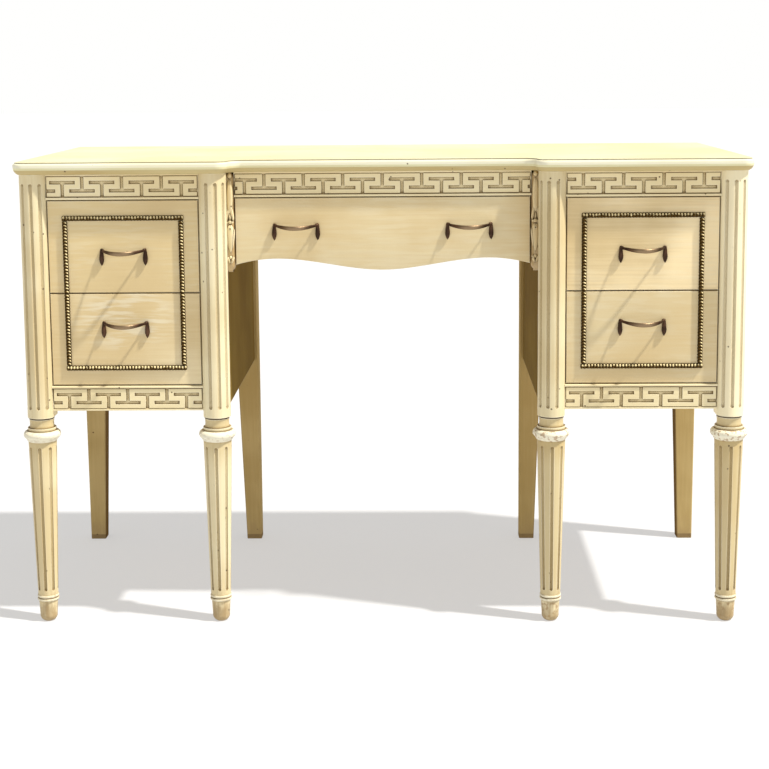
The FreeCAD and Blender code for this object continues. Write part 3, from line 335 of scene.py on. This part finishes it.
def facing(here, way):
    """How far the surface faces this way, from 1 to -1."""
    normal = here.node("NewGeometry", {}, {}, "Normal")
    return here.node("VectorMath", {"operation": "DOT_PRODUCT"}, {0: normal, 1: way}, "Value")


def inside_face_shade(coat, share):
    """Painted shade: dark brown on the faces that look towards the middle of their own pedestal."""
    across = along(coat.here, "X")
    inward = (PEDESTAL_MIDDLE - abs(across)) * across
    inside = facing(coat.here, (1.0, 0.0, 0.0)) * inward.maths("SIGN", inward, 0.0)
    coat.lay(inside.between(0.6, 0.9) * share, GLAZE_AND_SHADE_BROWN)


def dress_node(node, finish):
    """A board whose CAD shape is right keeps its mesh and gets this finish."""
    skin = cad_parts[node].data
    skin.materials.clear()
    skin.materials.append(finish)


rear_shade_coat = Coat("rear_leg_shade_paint", REAR_SHADE_PALE, REAR_SHADE_DEEP, ALONG_Z)
band(rear_shade_coat, "Z", *SOILED_FOOT, CHIP_BROWN, 1.1)
rub_and_highlight_edges(rear_shade_coat, 0.25)
scuff_feet(rear_shade_coat, 0.5)
# Painted shade on the faces turned to the pedestal's middle, where the case shades them.
inside_face_shade(rear_shade_coat, 0.97)
rear_shade_paint = dry(rear_shade_coat, chips=0.25, dull=0.85, shine=0.03)
for side in SIDES:
    for place in ("inner", "outer"):
        dress_node(f"rear_leg_{place}_{side}", rear_shade_paint)


# Side panels: four boards let into grooves in the legs, brushed upright with the same paint.
# The two on the kneehole are painted dark brown as painted shade, for the shade under the top.
PANEL_PALE = (0.71, 0.60, 0.37, 1.0)
PANEL_DEEP = (0.62, 0.50, 0.28, 1.0)
KNEEHOLE_SHADE_PALE = (0.235, 0.151, 0.032, 1.0)
KNEEHOLE_SHADE_DEEP = (0.175, 0.107, 0.021, 1.0)
STREAK_STRETCH = 0.11


def scattered(coat):
    """Large patches here and there."""
    return coat.clouds.between(0.38, 0.56)


def streak(coat, where, share):
    """Paint worn pale in strokes along the grain, in the patches given."""
    stretch = tuple(max(pull, STREAK_STRETCH) for pull in coat.grain)
    strokes = noise(coat.here, 150.0, stretch, 5.0)
    coat.lay(strokes.between(0.45, 0.60) * where * share, PALE_CREAM)


panel_coat = Coat("panel_cream_paint", PANEL_PALE, PANEL_DEEP, ALONG_Z)
streak(panel_coat, scattered(panel_coat), 0.08)
rub_and_highlight_edges(panel_coat, 0.3)
panel_paint = dry(panel_coat, chips=0.4)
# Painted shade: the kneehole paint is dark brown.
kneehole_shade_coat = Coat("kneehole_shade_paint", KNEEHOLE_SHADE_PALE, KNEEHOLE_SHADE_DEEP, ALONG_Z)
rub_and_highlight_edges(kneehole_shade_coat, 0.2)
kneehole_shade_paint = dry(kneehole_shade_coat, chips=0.7, dull=0.85, shine=0.03)
for side in SIDES:
    dress_node(f"side_panel_outer_{side}", panel_paint)
    dress_node(f"side_panel_inner_{side}", kneehole_shade_paint)


# Back: two thin panels in grooves in the rear legs and a rail across the kneehole. The panels
# are bare boards that have darkened, and the rail has the rear legs' brown coat of painted shade.
WOOD_RELIEF = 0.0006


def bare_wood(name, pale, deep, grain):
    """Planed poplar: long grain with darker pores, a few stains and a dry surface."""
    finish, shader, here = start_finish(name)
    clouds = noise(here, 5.0, EVEN)
    figure = noise(here, 46.0, grain, 6.0)
    pores = noise(here, 420.0, grain)
    colour = (figure * 0.8 + clouds * 0.35).between(0.38, 0.8).over(pale, deep)
    pore = pores.between(0.6, 0.75) * 0.5
    colour = pore.over(colour, (deep[0] * 0.5, deep[1] * 0.45, deep[2] * 0.4, 1.0))
    end_finish(shader, colour, 0.62 + figure * 0.2, figure * 0.4 - pore, WOOD_RELIEF)
    return finish


back_wood = bare_wood("darkened_back_wood", (0.42, 0.27, 0.13, 1.0), (0.27, 0.16, 0.07, 1.0), ALONG_Z)
dress_node("centre_back_rail", rear_shade_paint)
for side in SIDES:
    dress_node(f"back_panel_{side}", back_wood)


# Friezes: five rails tenoned between the posts, three under the top and two under the
# drawers. The key pattern and the lines at its borders are cut into the painted face.
FRIEZE_PALE = (0.91, 0.80, 0.51, 1.0)
FRIEZE_DEEP = (0.81, 0.68, 0.40, 1.0)
KEY_REACH = 0.005
FRIEZE_EDGE = 0.00035
TOUCHING = 0.00005
FLAT = math.radians(0.4)
SHARP = math.radians(30)
EDGE_CURVE = math.radians(38)


def flatten(piece):
    """Joins the triangles of each flat face into one."""
    only(piece)
    bpy.ops.object.mode_set(mode="EDIT")
    bpy.ops.mesh.select_all(action="SELECT")
    bpy.ops.mesh.dissolve_limited(angle_limit=FLAT)
    bpy.ops.object.mode_set(mode="OBJECT")


def soften(piece, width, steps, on_edge):
    """Rounds the sharp edges whose two ends pass on_edge."""
    only(piece)
    bpy.ops.object.mode_set(mode="EDIT")
    bpy.ops.mesh.select_mode(type="EDGE")
    bpy.ops.mesh.select_all(action="DESELECT")
    bpy.ops.mesh.edges_select_sharp(sharpness=SHARP)
    bpy.ops.object.mode_set(mode="OBJECT")
    points = piece.data.vertices
    for edge in piece.data.edges:
        ends = [points[i].co for i in edge.vertices]
        edge.select = edge.select and all(on_edge(end) for end in ends)
    bpy.ops.object.mode_set(mode="EDIT")
    bpy.ops.mesh.bevel(offset=width, segments=steps, affect="EDGES", clamp_overlap=False)
    bpy.ops.object.mode_set(mode="OBJECT")
    bpy.ops.object.shade_smooth_by_angle(angle=EDGE_CURVE)


def face_depth(node):
    """How far forward a board's largest front face is."""
    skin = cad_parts[node].data
    front = [(tri.area, tri.center.y) for tri in skin.polygons if tri.normal.y < -0.99]
    areas = {}
    for area, y in front:
        areas[round(y, 4)] = areas.get(round(y, 4), 0.0) + area
    return max(areas, key=areas.get)


frieze_coat = Coat("frieze_cream_paint", FRIEZE_PALE, FRIEZE_DEEP, ALONG_X)
rub_and_highlight_edges(frieze_coat, 0.55)
glaze(frieze_coat, KEY_REACH, start=0.16, full=0.42, share=0.85, wash=0.7)
frieze_paint = dry(frieze_coat, chips=0.6)
for node in ("frieze_centre", "frieze_right", "frieze_left", "lower_frieze_right", "lower_frieze_left"):
    rail = merged_copy(node, node + "_cut")
    face = face_depth(node)
    flatten(rail)
    soften(rail, FRIEZE_EDGE, 1, lambda end: abs(end.y - face) < TOUCHING)
    finished(rail, frieze_paint, "case", node)


# Carved drops: a strip with a rounded toe in each upper corner of the kneehole. A bud, a long
# leaf, a knot, a shorter leaf and a last small bud are carved on its face, then glazed.
DROP_PALE = (0.84, 0.72, 0.45, 1.0)
DROP_DEEP = (0.72, 0.57, 0.31, 1.0)
GROUND_SHADE_TAN = (0.40, 0.245, 0.085, 1.0)
SEAM_BROWN = (0.050, 0.028, 0.006, 1.0)
STRIP_WIDTH = 0.0155
TOE_ROUND = 0.012
STRIP_EDGE = 0.0008
GROUND_LIFT = 0.0007
CARVING_SHIFT = 0.0014
CARVING_REACH = 0.004
LEFT_GAP_SHADE = 0.0042
RIGHT_GAP_SHADE = 0.0040
VEIN_SHARE = 0.16
EYE_RADIUS = 0.0019
EYE_ROUND = 0.0008
# A leaf's half width, how far it stands up, its length, and how much it narrows downwards.
LONG_LEAF = (0.0050, 0.0042, 0.062, 0.30)
KNOT_TIP = (0.0020, 0.0040, 0.014, -0.6)
KNOT_WING = (0.0024, 0.0036, 0.024, -0.5)
SHORT_LEAF = (0.0056, 0.0042, 0.047, 1.0)
LEAF_EDGE = (0.0020, 0.0034, 0.034, 0.6)
TOE_LEAF = (0.0022, 0.0030, 0.013, 0.6)
CARVED_CURVE = math.radians(50)
drop_low, drop_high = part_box("carved_drops")
strip_face = drop_low.y


def seam(coat, axis, line, reach):
    """A dark line along a joint, on the faces that look forward."""
    off = abs(along(coat.here, axis) - line)
    dark = off.between(reach + BAND_EDGE, reach - BAND_EDGE)
    dark = dark * facing(coat.here, (0.0, -1.0, 0.0)).between(0.2, 0.6)
    coat.lay(dark * (0.5 + coat.clouds * 0.8), SEAM_BROWN)


def drop_strip(side):
    """The strip itself, its toe rounded towards the middle of the table."""
    middle = side * (drop_high.x - STRIP_WIDTH / 2)
    toe_x = middle - side * STRIP_WIDTH / 2
    bpy.ops.object.select_all(action="DESELECT")
    bpy.ops.mesh.primitive_cube_add(size=1.0)
    strip = bpy.context.object
    strip.scale = (STRIP_WIDTH, drop_high.y - strip_face, drop_high.z - drop_low.z)
    strip.location = (middle, (strip_face + drop_high.y) / 2, (drop_low.z + drop_high.z) / 2)
    bpy.ops.object.transform_apply(location=True, rotation=True, scale=True)

    def at_toe(end):
        return abs(end.x - toe_x) < TOUCHING and abs(end.z - drop_low.z) < TOUCHING

    soften(strip, TOE_ROUND, 10, at_toe)
    soften(strip, STRIP_EDGE, 2, lambda end: abs(end.y - strip_face) < TOUCHING)
    return strip


def carved_leaf(shape, tilt, x, below):
    """One leaf: a ball drawn long and narrow, with a hollow vein, leaning by tilt."""
    half_width, proud, length, point = shape
    bpy.ops.object.select_all(action="DESELECT")
    bpy.ops.mesh.primitive_uv_sphere_add(segments=20, ring_count=14, radius=1.0)
    leaf = bpy.context.object
    bpy.ops.object.mode_set(mode="EDIT")
    bpy.ops.mesh.select_all(action="SELECT")
    bpy.ops.transform.resize(value=(half_width, proud, length / 2))
    bpy.ops.mesh.select_mode(type="VERT")
    bpy.ops.mesh.select_all(action="DESELECT")
    bpy.ops.object.mode_set(mode="OBJECT")
    for dot in leaf.data.vertices:
        dot.select = abs(dot.co.x) < half_width * 0.05 and dot.co.y < 0.0
    bpy.ops.object.mode_set(mode="EDIT")
    bpy.ops.transform.translate(value=(0.0, proud * VEIN_SHARE, 0.0))
    bpy.ops.object.mode_set(mode="OBJECT")
    draw = leaf.modifiers.new("draw", "SIMPLE_DEFORM")
    draw.deform_method = "TAPER"
    draw.deform_axis = "Z"
    draw.factor = point
    bpy.ops.object.modifier_apply(modifier="draw")
    leaf.rotation_euler = (0.0, tilt, 0.0)
    leaf.location = (x, strip_face, drop_high.z - below)
    bpy.ops.object.transform_apply(location=True, rotation=True, scale=True)
    return leaf


def carved_bud(radius, x, below):
    bpy.ops.object.select_all(action="DESELECT")
    bpy.ops.mesh.primitive_uv_sphere_add(segments=14, ring_count=10, radius=radius)
    bud = bpy.context.object
    bud.scale = (1.0, 0.95, 1.15)
    bud.location = (x, strip_face, drop_high.z - below)
    bpy.ops.object.transform_apply(location=True, rotation=True, scale=True)
    return bud


def carved_eye(proud, x, below):
    """The drilled eye at the head of a leaf: a small raised ring that holds dark glaze."""
    bpy.ops.object.select_all(action="DESELECT")
    bpy.ops.mesh.primitive_torus_add(
        major_segments=16,
        minor_segments=8,
        major_radius=EYE_RADIUS,
        minor_radius=EYE_ROUND,
    )
    eye = bpy.context.object
    eye.rotation_euler = (math.pi / 2, 0.0, 0.0)
    eye.location = (x, strip_face - proud, drop_high.z - below)
    bpy.ops.object.transform_apply(location=True, rotation=True, scale=True)
    return eye


def joined(parts, name):
    bpy.ops.object.select_all(action="DESELECT")
    for part in parts:
        part.select_set(True)
    bpy.context.view_layer.objects.active = parts[0]
    bpy.ops.object.join()
    parts[0].name = name
    parts[0].data.name = name
    return parts[0]


drop_coat = Coat("drop_cream_paint", DROP_PALE, DROP_DEEP, ALONG_Z)
# Painted shade: the strip's ground round the carving is tan-brown, where shade falls between the
# leaves.
band(drop_coat, "Y", strip_face - GROUND_LIFT, 0.0, GROUND_SHADE_TAN, 0.95)
# Painted shade: a dark band at each strip's outer edge, for the shadow in the gap beside the post.
seam(drop_coat, "X", drop_low.x, LEFT_GAP_SHADE)
seam(drop_coat, "X", drop_high.x, RIGHT_GAP_SHADE)
rub_and_highlight_edges(drop_coat, 0.15)
glaze(drop_coat, CARVING_REACH, start=0.12, full=0.42, share=0.95)
carving = []
for side in (1.0, -1.0):
    middle = side * (drop_high.x - STRIP_WIDTH / 2 - CARVING_SHIFT)
    carving.append(drop_strip(side))
    carving.append(carved_bud(0.0036, middle, 0.0058))
    carving.append(carved_leaf(LONG_LEAF, 0.0, middle, 0.0425))
    carving.append(carved_leaf(KNOT_TIP, 0.0, middle, 0.0712))
    carving.append(carved_bud(0.0032, middle, 0.0808))
    carving.append(carved_leaf(SHORT_LEAF, 0.0, middle, 0.1085))
    carving.append(carved_eye(0.0036, middle, 0.0920))
    carving.append(carved_bud(0.0028, middle, 0.1390))
    for lean in (-1.0, 1.0):
        carving.append(carved_leaf(KNOT_WING, lean * -0.13, middle + lean * 0.0036, 0.0675))
        carving.append(carved_leaf(LEAF_EDGE, lean * 0.10, middle + lean * 0.0046, 0.1090))
        carving.append(carved_bud(0.0020, middle + lean * 0.0038, 0.0814))
        carving.append(carved_leaf(TOE_LEAF, lean * 0.35, middle + lean * 0.0028, 0.1435))
drops = joined(carving, "carved_drops_cut")
bpy.ops.object.shade_smooth_by_angle(angle=CARVED_CURVE)
finished(drops, dry(drop_coat, chips=0.4), "case", "carved_drops")


# Hidden joinery: bottom boards, runners and glue blocks of bare poplar, planed, glued and
# left unpainted inside the case.
ALONG_Y = (1.0, 0.03, 1.0)
joinery_wood = bare_wood("bare_poplar_cross", (0.62, 0.46, 0.26, 1.0), (0.48, 0.32, 0.15, 1.0), ALONG_X)
runner_wood = bare_wood("bare_poplar_long", (0.60, 0.44, 0.24, 1.0), (0.46, 0.30, 0.14, 1.0), ALONG_Y)
dress_node("bottom_boards", joinery_wood)
dress_node("glue_blocks", joinery_wood)
dress_node("pedestal_runners", runner_wood)
dress_node("centre_runners", runner_wood)


# Drawer boxes: sides, back and bottom of thin bare poplar, dovetailed to the front. The
# bottom slides in a groove.
PEDESTAL_DRAWERS = ("upper_left", "upper_right", "lower_left", "lower_right")
DRAWERS = PEDESTAL_DRAWERS + ("centre",)
box_wood = bare_wood("drawer_side_poplar", (0.66, 0.50, 0.29, 1.0), (0.52, 0.36, 0.18, 1.0), ALONG_Y)
for drawer in DRAWERS:
    dress_node(f"{drawer}_drawer_sides", box_wood)
    dress_node(f"{drawer}_drawer_back", joinery_wood)
    dress_node(f"{drawer}_drawer_bottom", joinery_wood)


# Drawer fronts: five boards of poplar, painted buff with level brush strokes. Their edges are
# eased, rubbed pale with a painted highlight, and lined dark. The lower left one has lost paint in
# level streaks over its pull.
BUFFS = {
    "upper_left": (0.775, 0.62, 0.335, 1.0),
    "upper_right": (0.96, 0.79, 0.48, 1.0),
    "lower_left": (0.82, 0.695, 0.44, 1.0),
    "lower_right": (0.725, 0.60, 0.355, 1.0),
    "centre": (0.78, 0.66, 0.405, 1.0),
}
BUFF_DEEP = (0.685, 0.53, 0.28, 1.0)
FRONT_SEAM = 0.0008
FOOT_SEAM = FRONT_SEAM * 1.4
BARE_REACH_X = 0.075
BARE_REACH_Z = 0.045
BARE_RISE = 0.74
FRONT_CURVE = math.radians(30)


def round_place(coat, x, z):
    """One wide patch with a ragged edge round a place on the front."""
    off_x = (along(coat.here, "X") - x) * (1.0 / BARE_REACH_X)
    off_z = (along(coat.here, "Z") - z) * (1.0 / BARE_REACH_Z)
    return (off_x * off_x + off_z * off_z + (coat.clouds - 0.5) * 1.5).between(1.7, 0.3)


def darken_edges(coat, low, high, drawer):
    """Dark lines along the edges of a front, but not along a lower front's top edge, nor along the
    centre front's left edge and foot.
    """
    seam(coat, "X", high.x, FRONT_SEAM)
    if drawer != "centre":
        seam(coat, "X", low.x, FRONT_SEAM)
    if not drawer.startswith("lower"):
        seam(coat, "Z", high.z, FRONT_SEAM)
    if drawer != "centre":
        seam(coat, "Z", low.z, FOOT_SEAM)


for drawer in DRAWERS:
    node = f"{drawer}_drawer_front"
    low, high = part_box(node)
    front_coat = Coat(f"{drawer}_buff_paint", BUFFS[drawer], BUFF_DEEP, ALONG_X)
    if drawer == "lower_left":
        bare_z = low.z + (high.z - low.z) * BARE_RISE
        streak(front_coat, round_place(front_coat, (low.x + high.x) / 2, bare_z), 0.40)
    else:
        streak(front_coat, scattered(front_coat), 0.12)
    darken_edges(front_coat, low, high, drawer)
    rub_and_highlight_edges(front_coat, 0.55)
    front = merged_copy(node, node + "_eased")
    bpy.ops.object.shade_smooth_by_angle(angle=FRONT_CURVE)
    finished(front, dry(front_coat, chips=0.0), f"{drawer}_drawer", node)


# Rope mouldings: three mitred lengths on each pedestal drawer, turned as a twisted rope and
# split, so that one frame runs over both drawers. Cream on the strands, dark glaze between, and
# painted shade on the sides of the strands that face away from the light.
ROPE_CREAM = (0.86, 0.72, 0.40, 1.0)
ROPE_SHADE_BROWN = (0.085, 0.046, 0.009, 1.0)
ROPE_RELIEF = 0.0003
ROPE_WIDTH = 0.009
STRAND_PITCH = 0.0050
STRAND_HALF_LENGTH = 0.0047
STRAND_HALF_WIDTH = 0.00245
STRAND_SLANT = math.radians(106)
BED_WIDTH = ROPE_WIDTH * 0.86
BED_HEIGHT = 0.0024
BED_EDGE = 0.0015
ROPE_CURVE = math.radians(60)
# The ways the light comes from: sides that face them are painted cream and sides turned away painted
# dark, as painted light and shade.
LIGHT_WAY_LEVEL = (0.40, 0.05, 0.91)
LIGHT_WAY_UPRIGHT = (0.93, 0.12, 0.35)
rope_low, rope_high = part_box("upper_left_drawer_rope_moulding")
rope_height = rope_high.y - rope_low.y
level_top = rope_high.z - ROPE_WIDTH
level_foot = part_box("lower_left_drawer_rope_moulding")[0].z + ROPE_WIDTH


def rope_glaze_and_shade_finish():
    """Cream strands, with dark glaze low between them and painted shade on the sides that face away
    from the light.
    """
    finish, shader, here = start_finish("glazed_and_shaded_rope")
    depth = along(here, "Y")
    height = along(here, "Z")
    clouds = noise(here, 60.0, EVEN)
    scatter = noise(here, 230.0, EVEN)
    fine = noise(here, 900.0, EVEN)
    level = height.between(level_top - BAND_EDGE, level_top + BAND_EDGE)
    level = level + height.between(level_foot + BAND_EDGE, level_foot - BAND_EDGE)
    # Painted light and shade: cream on the sides that face the light, dark brown on the sides turned
    # away.
    lit_side = (facing(here, LIGHT_WAY_LEVEL) + 0.26) * level + facing(here, LIGHT_WAY_UPRIGHT) * (1.0 - level)
    lit_side = lit_side + (clouds - 0.5) * 0.9 + (scatter - 0.5) * 1.6
    colour = lit_side.between(0.08, 0.62).over(ROPE_SHADE_BROWN, ROPE_CREAM)
    sunk = (depth + (clouds - 0.5) * 0.0022).between(rope_low.y + 0.0014, rope_low.y + 0.0030)
    colour = sunk.over(colour, SEAM_BROWN)
    shader.inputs["Specular IOR Level"].default_value = 0.06
    end_finish(shader, colour, 0.55 + fine * 0.2, fine, ROPE_RELIEF)
    return finish


def rope_strand():
    """One strand's visible crown, on a level run."""
    bpy.ops.object.select_all(action="DESELECT")
    bpy.ops.mesh.primitive_uv_sphere_add(segments=10, ring_count=8, radius=1.0)
    strand = bpy.context.object
    strand.scale = (STRAND_HALF_LENGTH, rope_height, STRAND_HALF_WIDTH)
    bpy.ops.object.transform_apply(location=False, rotation=False, scale=True)
    strand.rotation_euler = (0.0, STRAND_SLANT, 0.0)
    bpy.ops.object.transform_apply(location=False, rotation=True, scale=False)
    bpy.ops.object.mode_set(mode="EDIT")
    bpy.ops.mesh.select_all(action="SELECT")
    bpy.ops.mesh.bisect(
        plane_co=(0.0, 0.0, 0.0),
        plane_no=(0.0, 1.0, 0.0),
        use_fill=True,
        clear_outer=True,
    )
    bpy.ops.object.mode_set(mode="OBJECT")
    return strand


def rope_run(start, length, upright, face):
    """A run of strands from start, level or upright."""
    count = max(2, round(length / STRAND_PITCH))
    step = length / count
    strand = rope_strand()
    row = strand.modifiers.new("row", "ARRAY")
    row.count = count
    row.use_relative_offset = False
    row.use_constant_offset = True
    row.constant_offset_displace = (step, 0.0, 0.0)
    bpy.ops.object.modifier_apply(modifier="row")
    if upright:
        strand.rotation_euler = (0.0, -math.pi / 2, 0.0)
        strand.location = (start[0], face, start[1] + step / 2)
    else:
        strand.location = (start[0] + step / 2, face, start[1])
    bpy.ops.object.transform_apply(location=True, rotation=True, scale=False)
    return strand


def rope_bed(middle, length, upright, face):
    """The round core that shows dark between the strands."""
    bpy.ops.object.select_all(action="DESELECT")
    bpy.ops.mesh.primitive_cube_add(size=1.0)
    bed = bpy.context.object
    bed.scale = (BED_WIDTH, BED_HEIGHT, length) if upright else (length, BED_HEIGHT, BED_WIDTH)
    bed.location = (middle[0], face - BED_HEIGHT / 2, middle[1])
    bpy.ops.object.transform_apply(location=True, rotation=True, scale=True)
    soften(bed, BED_EDGE, 2, lambda end: abs(end.y - (face - BED_HEIGHT)) < TOUCHING)
    return bed


rope_glaze_and_shade = rope_glaze_and_shade_finish()
for drawer in PEDESTAL_DRAWERS:
    node = f"{drawer}_drawer_rope_moulding"
    low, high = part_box(node)
    half = ROPE_WIDTH / 2
    level_z = high.z - half if drawer.startswith("upper") else low.z + half
    foot = low.z if drawer.startswith("upper") else low.z + ROPE_WIDTH
    climb = high.z - low.z - ROPE_WIDTH
    runs = [rope_run((low.x, level_z), high.x - low.x, False, high.y)]
    runs.append(rope_bed(((low.x + high.x) / 2, level_z), high.x - low.x, False, high.y))
    for x in (low.x + half, high.x - half):
        runs.append(rope_run((x, foot), climb, True, high.y))
        runs.append(rope_bed((x, foot + climb / 2), climb, True, high.y))
    rope = joined(runs, node + "_twisted")
    bpy.ops.object.shade_smooth_by_angle(angle=ROPE_CURVE)
    finished(rope, rope_glaze_and_shade, f"{drawer}_drawer", node)


# Bow pulls: six cast in bronze, each a bow between two leaf-shaped feet. Dark brown patina,
# rubbed to copper along the grip, the copper also a painted highlight, and two steel screws from inside
# the drawer.
PATINA_DARK = (0.045, 0.024, 0.015, 1.0)
PATINA_BROWN = (0.12, 0.062, 0.036, 1.0)
BARE_BRONZE_HIGHLIGHT = (0.36, 0.255, 0.15, 1.0)
STEEL_GREY = (0.42, 0.40, 0.37, 1.0)
STEEL_BROWN = (0.25, 0.20, 0.16, 1.0)
GRIP_REACH = 0.026
GRIP_BARE = 0.006
CAST_RELIEF = 0.0003
SCREW_RELIEF = 0.0002
PULL_CURVE = math.radians(50)
pull_low, pull_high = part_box("upper_right_drawer_pull")
pull_half = (pull_high.x - pull_low.x) / 2
pull_middles = (PEDESTAL_MIDDLE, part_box("centre_drawer_pulls")[1].x - pull_half)


def bronze_finish():
    """Brown patina, worn to bare copper bronze where fingers close on the middle of a grip; this bare
    bronze is also a painted highlight.
    """
    finish, shader, here = start_finish("brown_bronze")
    clouds = noise(here, 70.0, EVEN)
    fine = noise(here, 700.0, EVEN)
    across = abs(along(here, "X"))
    colour = clouds.between(0.35, 0.75).over(PATINA_DARK, PATINA_BROWN)
    for middle in pull_middles:
        off = abs(across - middle) + (clouds - 0.5) * 0.012
        # Worn bronze and a painted highlight on the middle of each grip.
        colour = (off.between(GRIP_REACH, GRIP_BARE) * 0.8).over(colour, BARE_BRONZE_HIGHLIGHT)
    shader.inputs["Metallic"].default_value = 0.85
    end_finish(shader, colour, 0.34 + fine * 0.22, fine + clouds * 0.5, CAST_RELIEF)
    return finish


def steel_finish():
    finish, shader, here = start_finish("screw_steel")
    fine = noise(here, 800.0, EVEN)
    clouds = noise(here, 120.0, EVEN)
    colour = clouds.between(0.4, 0.7).over(STEEL_GREY, STEEL_BROWN)
    shader.inputs["Metallic"].default_value = 1.0
    end_finish(shader, colour, 0.32 + fine * 0.2, fine, SCREW_RELIEF)
    return finish


bronze = bronze_finish()
steel = steel_finish()
for drawer in DRAWERS:
    node = f"{drawer}_drawer_pulls" if drawer == "centre" else f"{drawer}_drawer_pull"
    pull = merged_copy(node, node + "_cast")
    bpy.ops.object.shade_smooth_by_angle(angle=PULL_CURVE)
    finished(pull, bronze, f"{drawer}_drawer", node)
    dress_node(f"{drawer}_drawer_pull_screws", steel)


# Top board: glued up from poplar, its front and ends worked with a quirk, a round and a
# hollow. Pale cream paint, brushed lengthways, with glaze in the quirk and knocks on the edge.
TOP_PALE = (0.80, 0.78, 0.50, 1.0)
TOP_DEEP = (0.75, 0.69, 0.41, 1.0)
EDGE_ROUND = (0.7530, 0.7600)
EDGE_HOLLOW = (0.7000, 0.7495)
EDGE_QUIRK = (0.7604, 0.7615)
QUIRK_REACH = 0.0045
TOP_CURVE = math.radians(30)
top_coat = Coat("top_cream_paint", TOP_PALE, TOP_DEEP, ALONG_X)
streak(top_coat, scattered(top_coat), 0.15)
# Painted light and shade: the round is pale, partly rubbed and partly a painted highlight on its upper
# face, and the hollow under it is tan as painted shade, with some glaze.
band(top_coat, "Z", *EDGE_ROUND, PALE_CREAM, 1.0)
band(top_coat, "Z", *EDGE_HOLLOW, WASH_AND_SHADE_TAN, 1.0)
band(top_coat, "Z", *EDGE_QUIRK, SEAM_BROWN, 1.3)
rub_and_highlight_edges(top_coat, 0.5)
glaze(top_coat, QUIRK_REACH, start=0.16, full=0.5, share=1.0)
top = merged_copy("top_board", "top_board_moulded")
bpy.ops.object.shade_smooth_by_angle(angle=TOP_CURVE)
finished(top, dry(top_coat, chips=0.5), "case", "top_board")


# The studio: a pale floor that glows a little like a light table, parallel light from high on
# the right as on a clear day, pale walls all round, and the camera of the photograph.
FLOOR_SIZE = 60.0
FLOOR_GREY = (0.35, 0.355, 0.37, 1.0)
FLOOR_PALE = (0.37, 0.375, 0.39, 1.0)
FLOOR_GLOW = 0.47
FLOOR_RELIEF = 0.0002
SUN_WAY = Vector((0.489, -0.170, 0.857))
SUN_FAR = 6.0
SUN_STRENGTH = 4.6
SUN_SPREAD = math.radians(2.2)
SUN_WARM = (1.0, 0.965, 0.89)
WALL_WHITE = (1.0, 1.0, 0.99, 1.0)
CEILING_GREY = (0.43, 0.41, 0.38, 1.0)
CAMERA_PLACE = (0.05867, -2.69941, 0.9064)
CAMERA_TURN = (1.44203, 0.00817, 0.02133)
CAMERA_FILM = 36.0
CAMERA_LENS = 72.689
CAMERA_SHIFT = -0.15
bpy.ops.object.select_all(action="DESELECT")
bpy.ops.mesh.primitive_plane_add(size=FLOOR_SIZE, location=(0.0, 0.0, cad_low.z))
floor = bpy.context.object
floor.name = "pale_floor"
floor_finish, floor_shader, floor_here = start_finish("pale_floor")
floor_tone = noise(floor_here, 3.0, EVEN)
floor_colour = floor_tone.over(FLOOR_GREY, FLOOR_PALE)
floor_shader.inputs["Emission Color"].default_value = (1.0, 1.0, 1.0, 1.0)
floor_shader.inputs["Emission Strength"].default_value = FLOOR_GLOW
end_finish(floor_shader, floor_colour, 0.8 + floor_tone * 0.1, floor_tone, FLOOR_RELIEF)
floor.data.materials.append(floor_finish)

bpy.ops.object.select_all(action="DESELECT")
bpy.ops.object.light_add(type="SUN", location=SUN_WAY * SUN_FAR)
sun = bpy.context.object
sun.name = "high_light"
sun.rotation_euler = (-SUN_WAY).to_track_quat("-Z", "Y").to_euler()
sun.data.energy = SUN_STRENGTH
sun.data.angle = SUN_SPREAD
sun.data.color = SUN_WARM

room = bpy.data.worlds.new("pale_room")
room.use_nodes = True
walls = Tint(room.node_tree, None).node("TexCoord", {}, {}, "Generated")
glow = along(walls, "Z").between(0.09, 0.30).over(WALL_WHITE, CEILING_GREY)
room.node_tree.links.new(glow.socket, room.node_tree.nodes["Background"].inputs["Color"])
bpy.context.scene.world = room
bpy.context.scene.view_settings.view_transform = "Standard"

bpy.ops.object.camera_add(location=CAMERA_PLACE, rotation=CAMERA_TURN)
camera = bpy.context.object
camera.data.sensor_width = CAMERA_FILM
camera.data.lens = CAMERA_LENS
camera.data.shift_y = CAMERA_SHIFT
bpy.context.scene.camera = camera
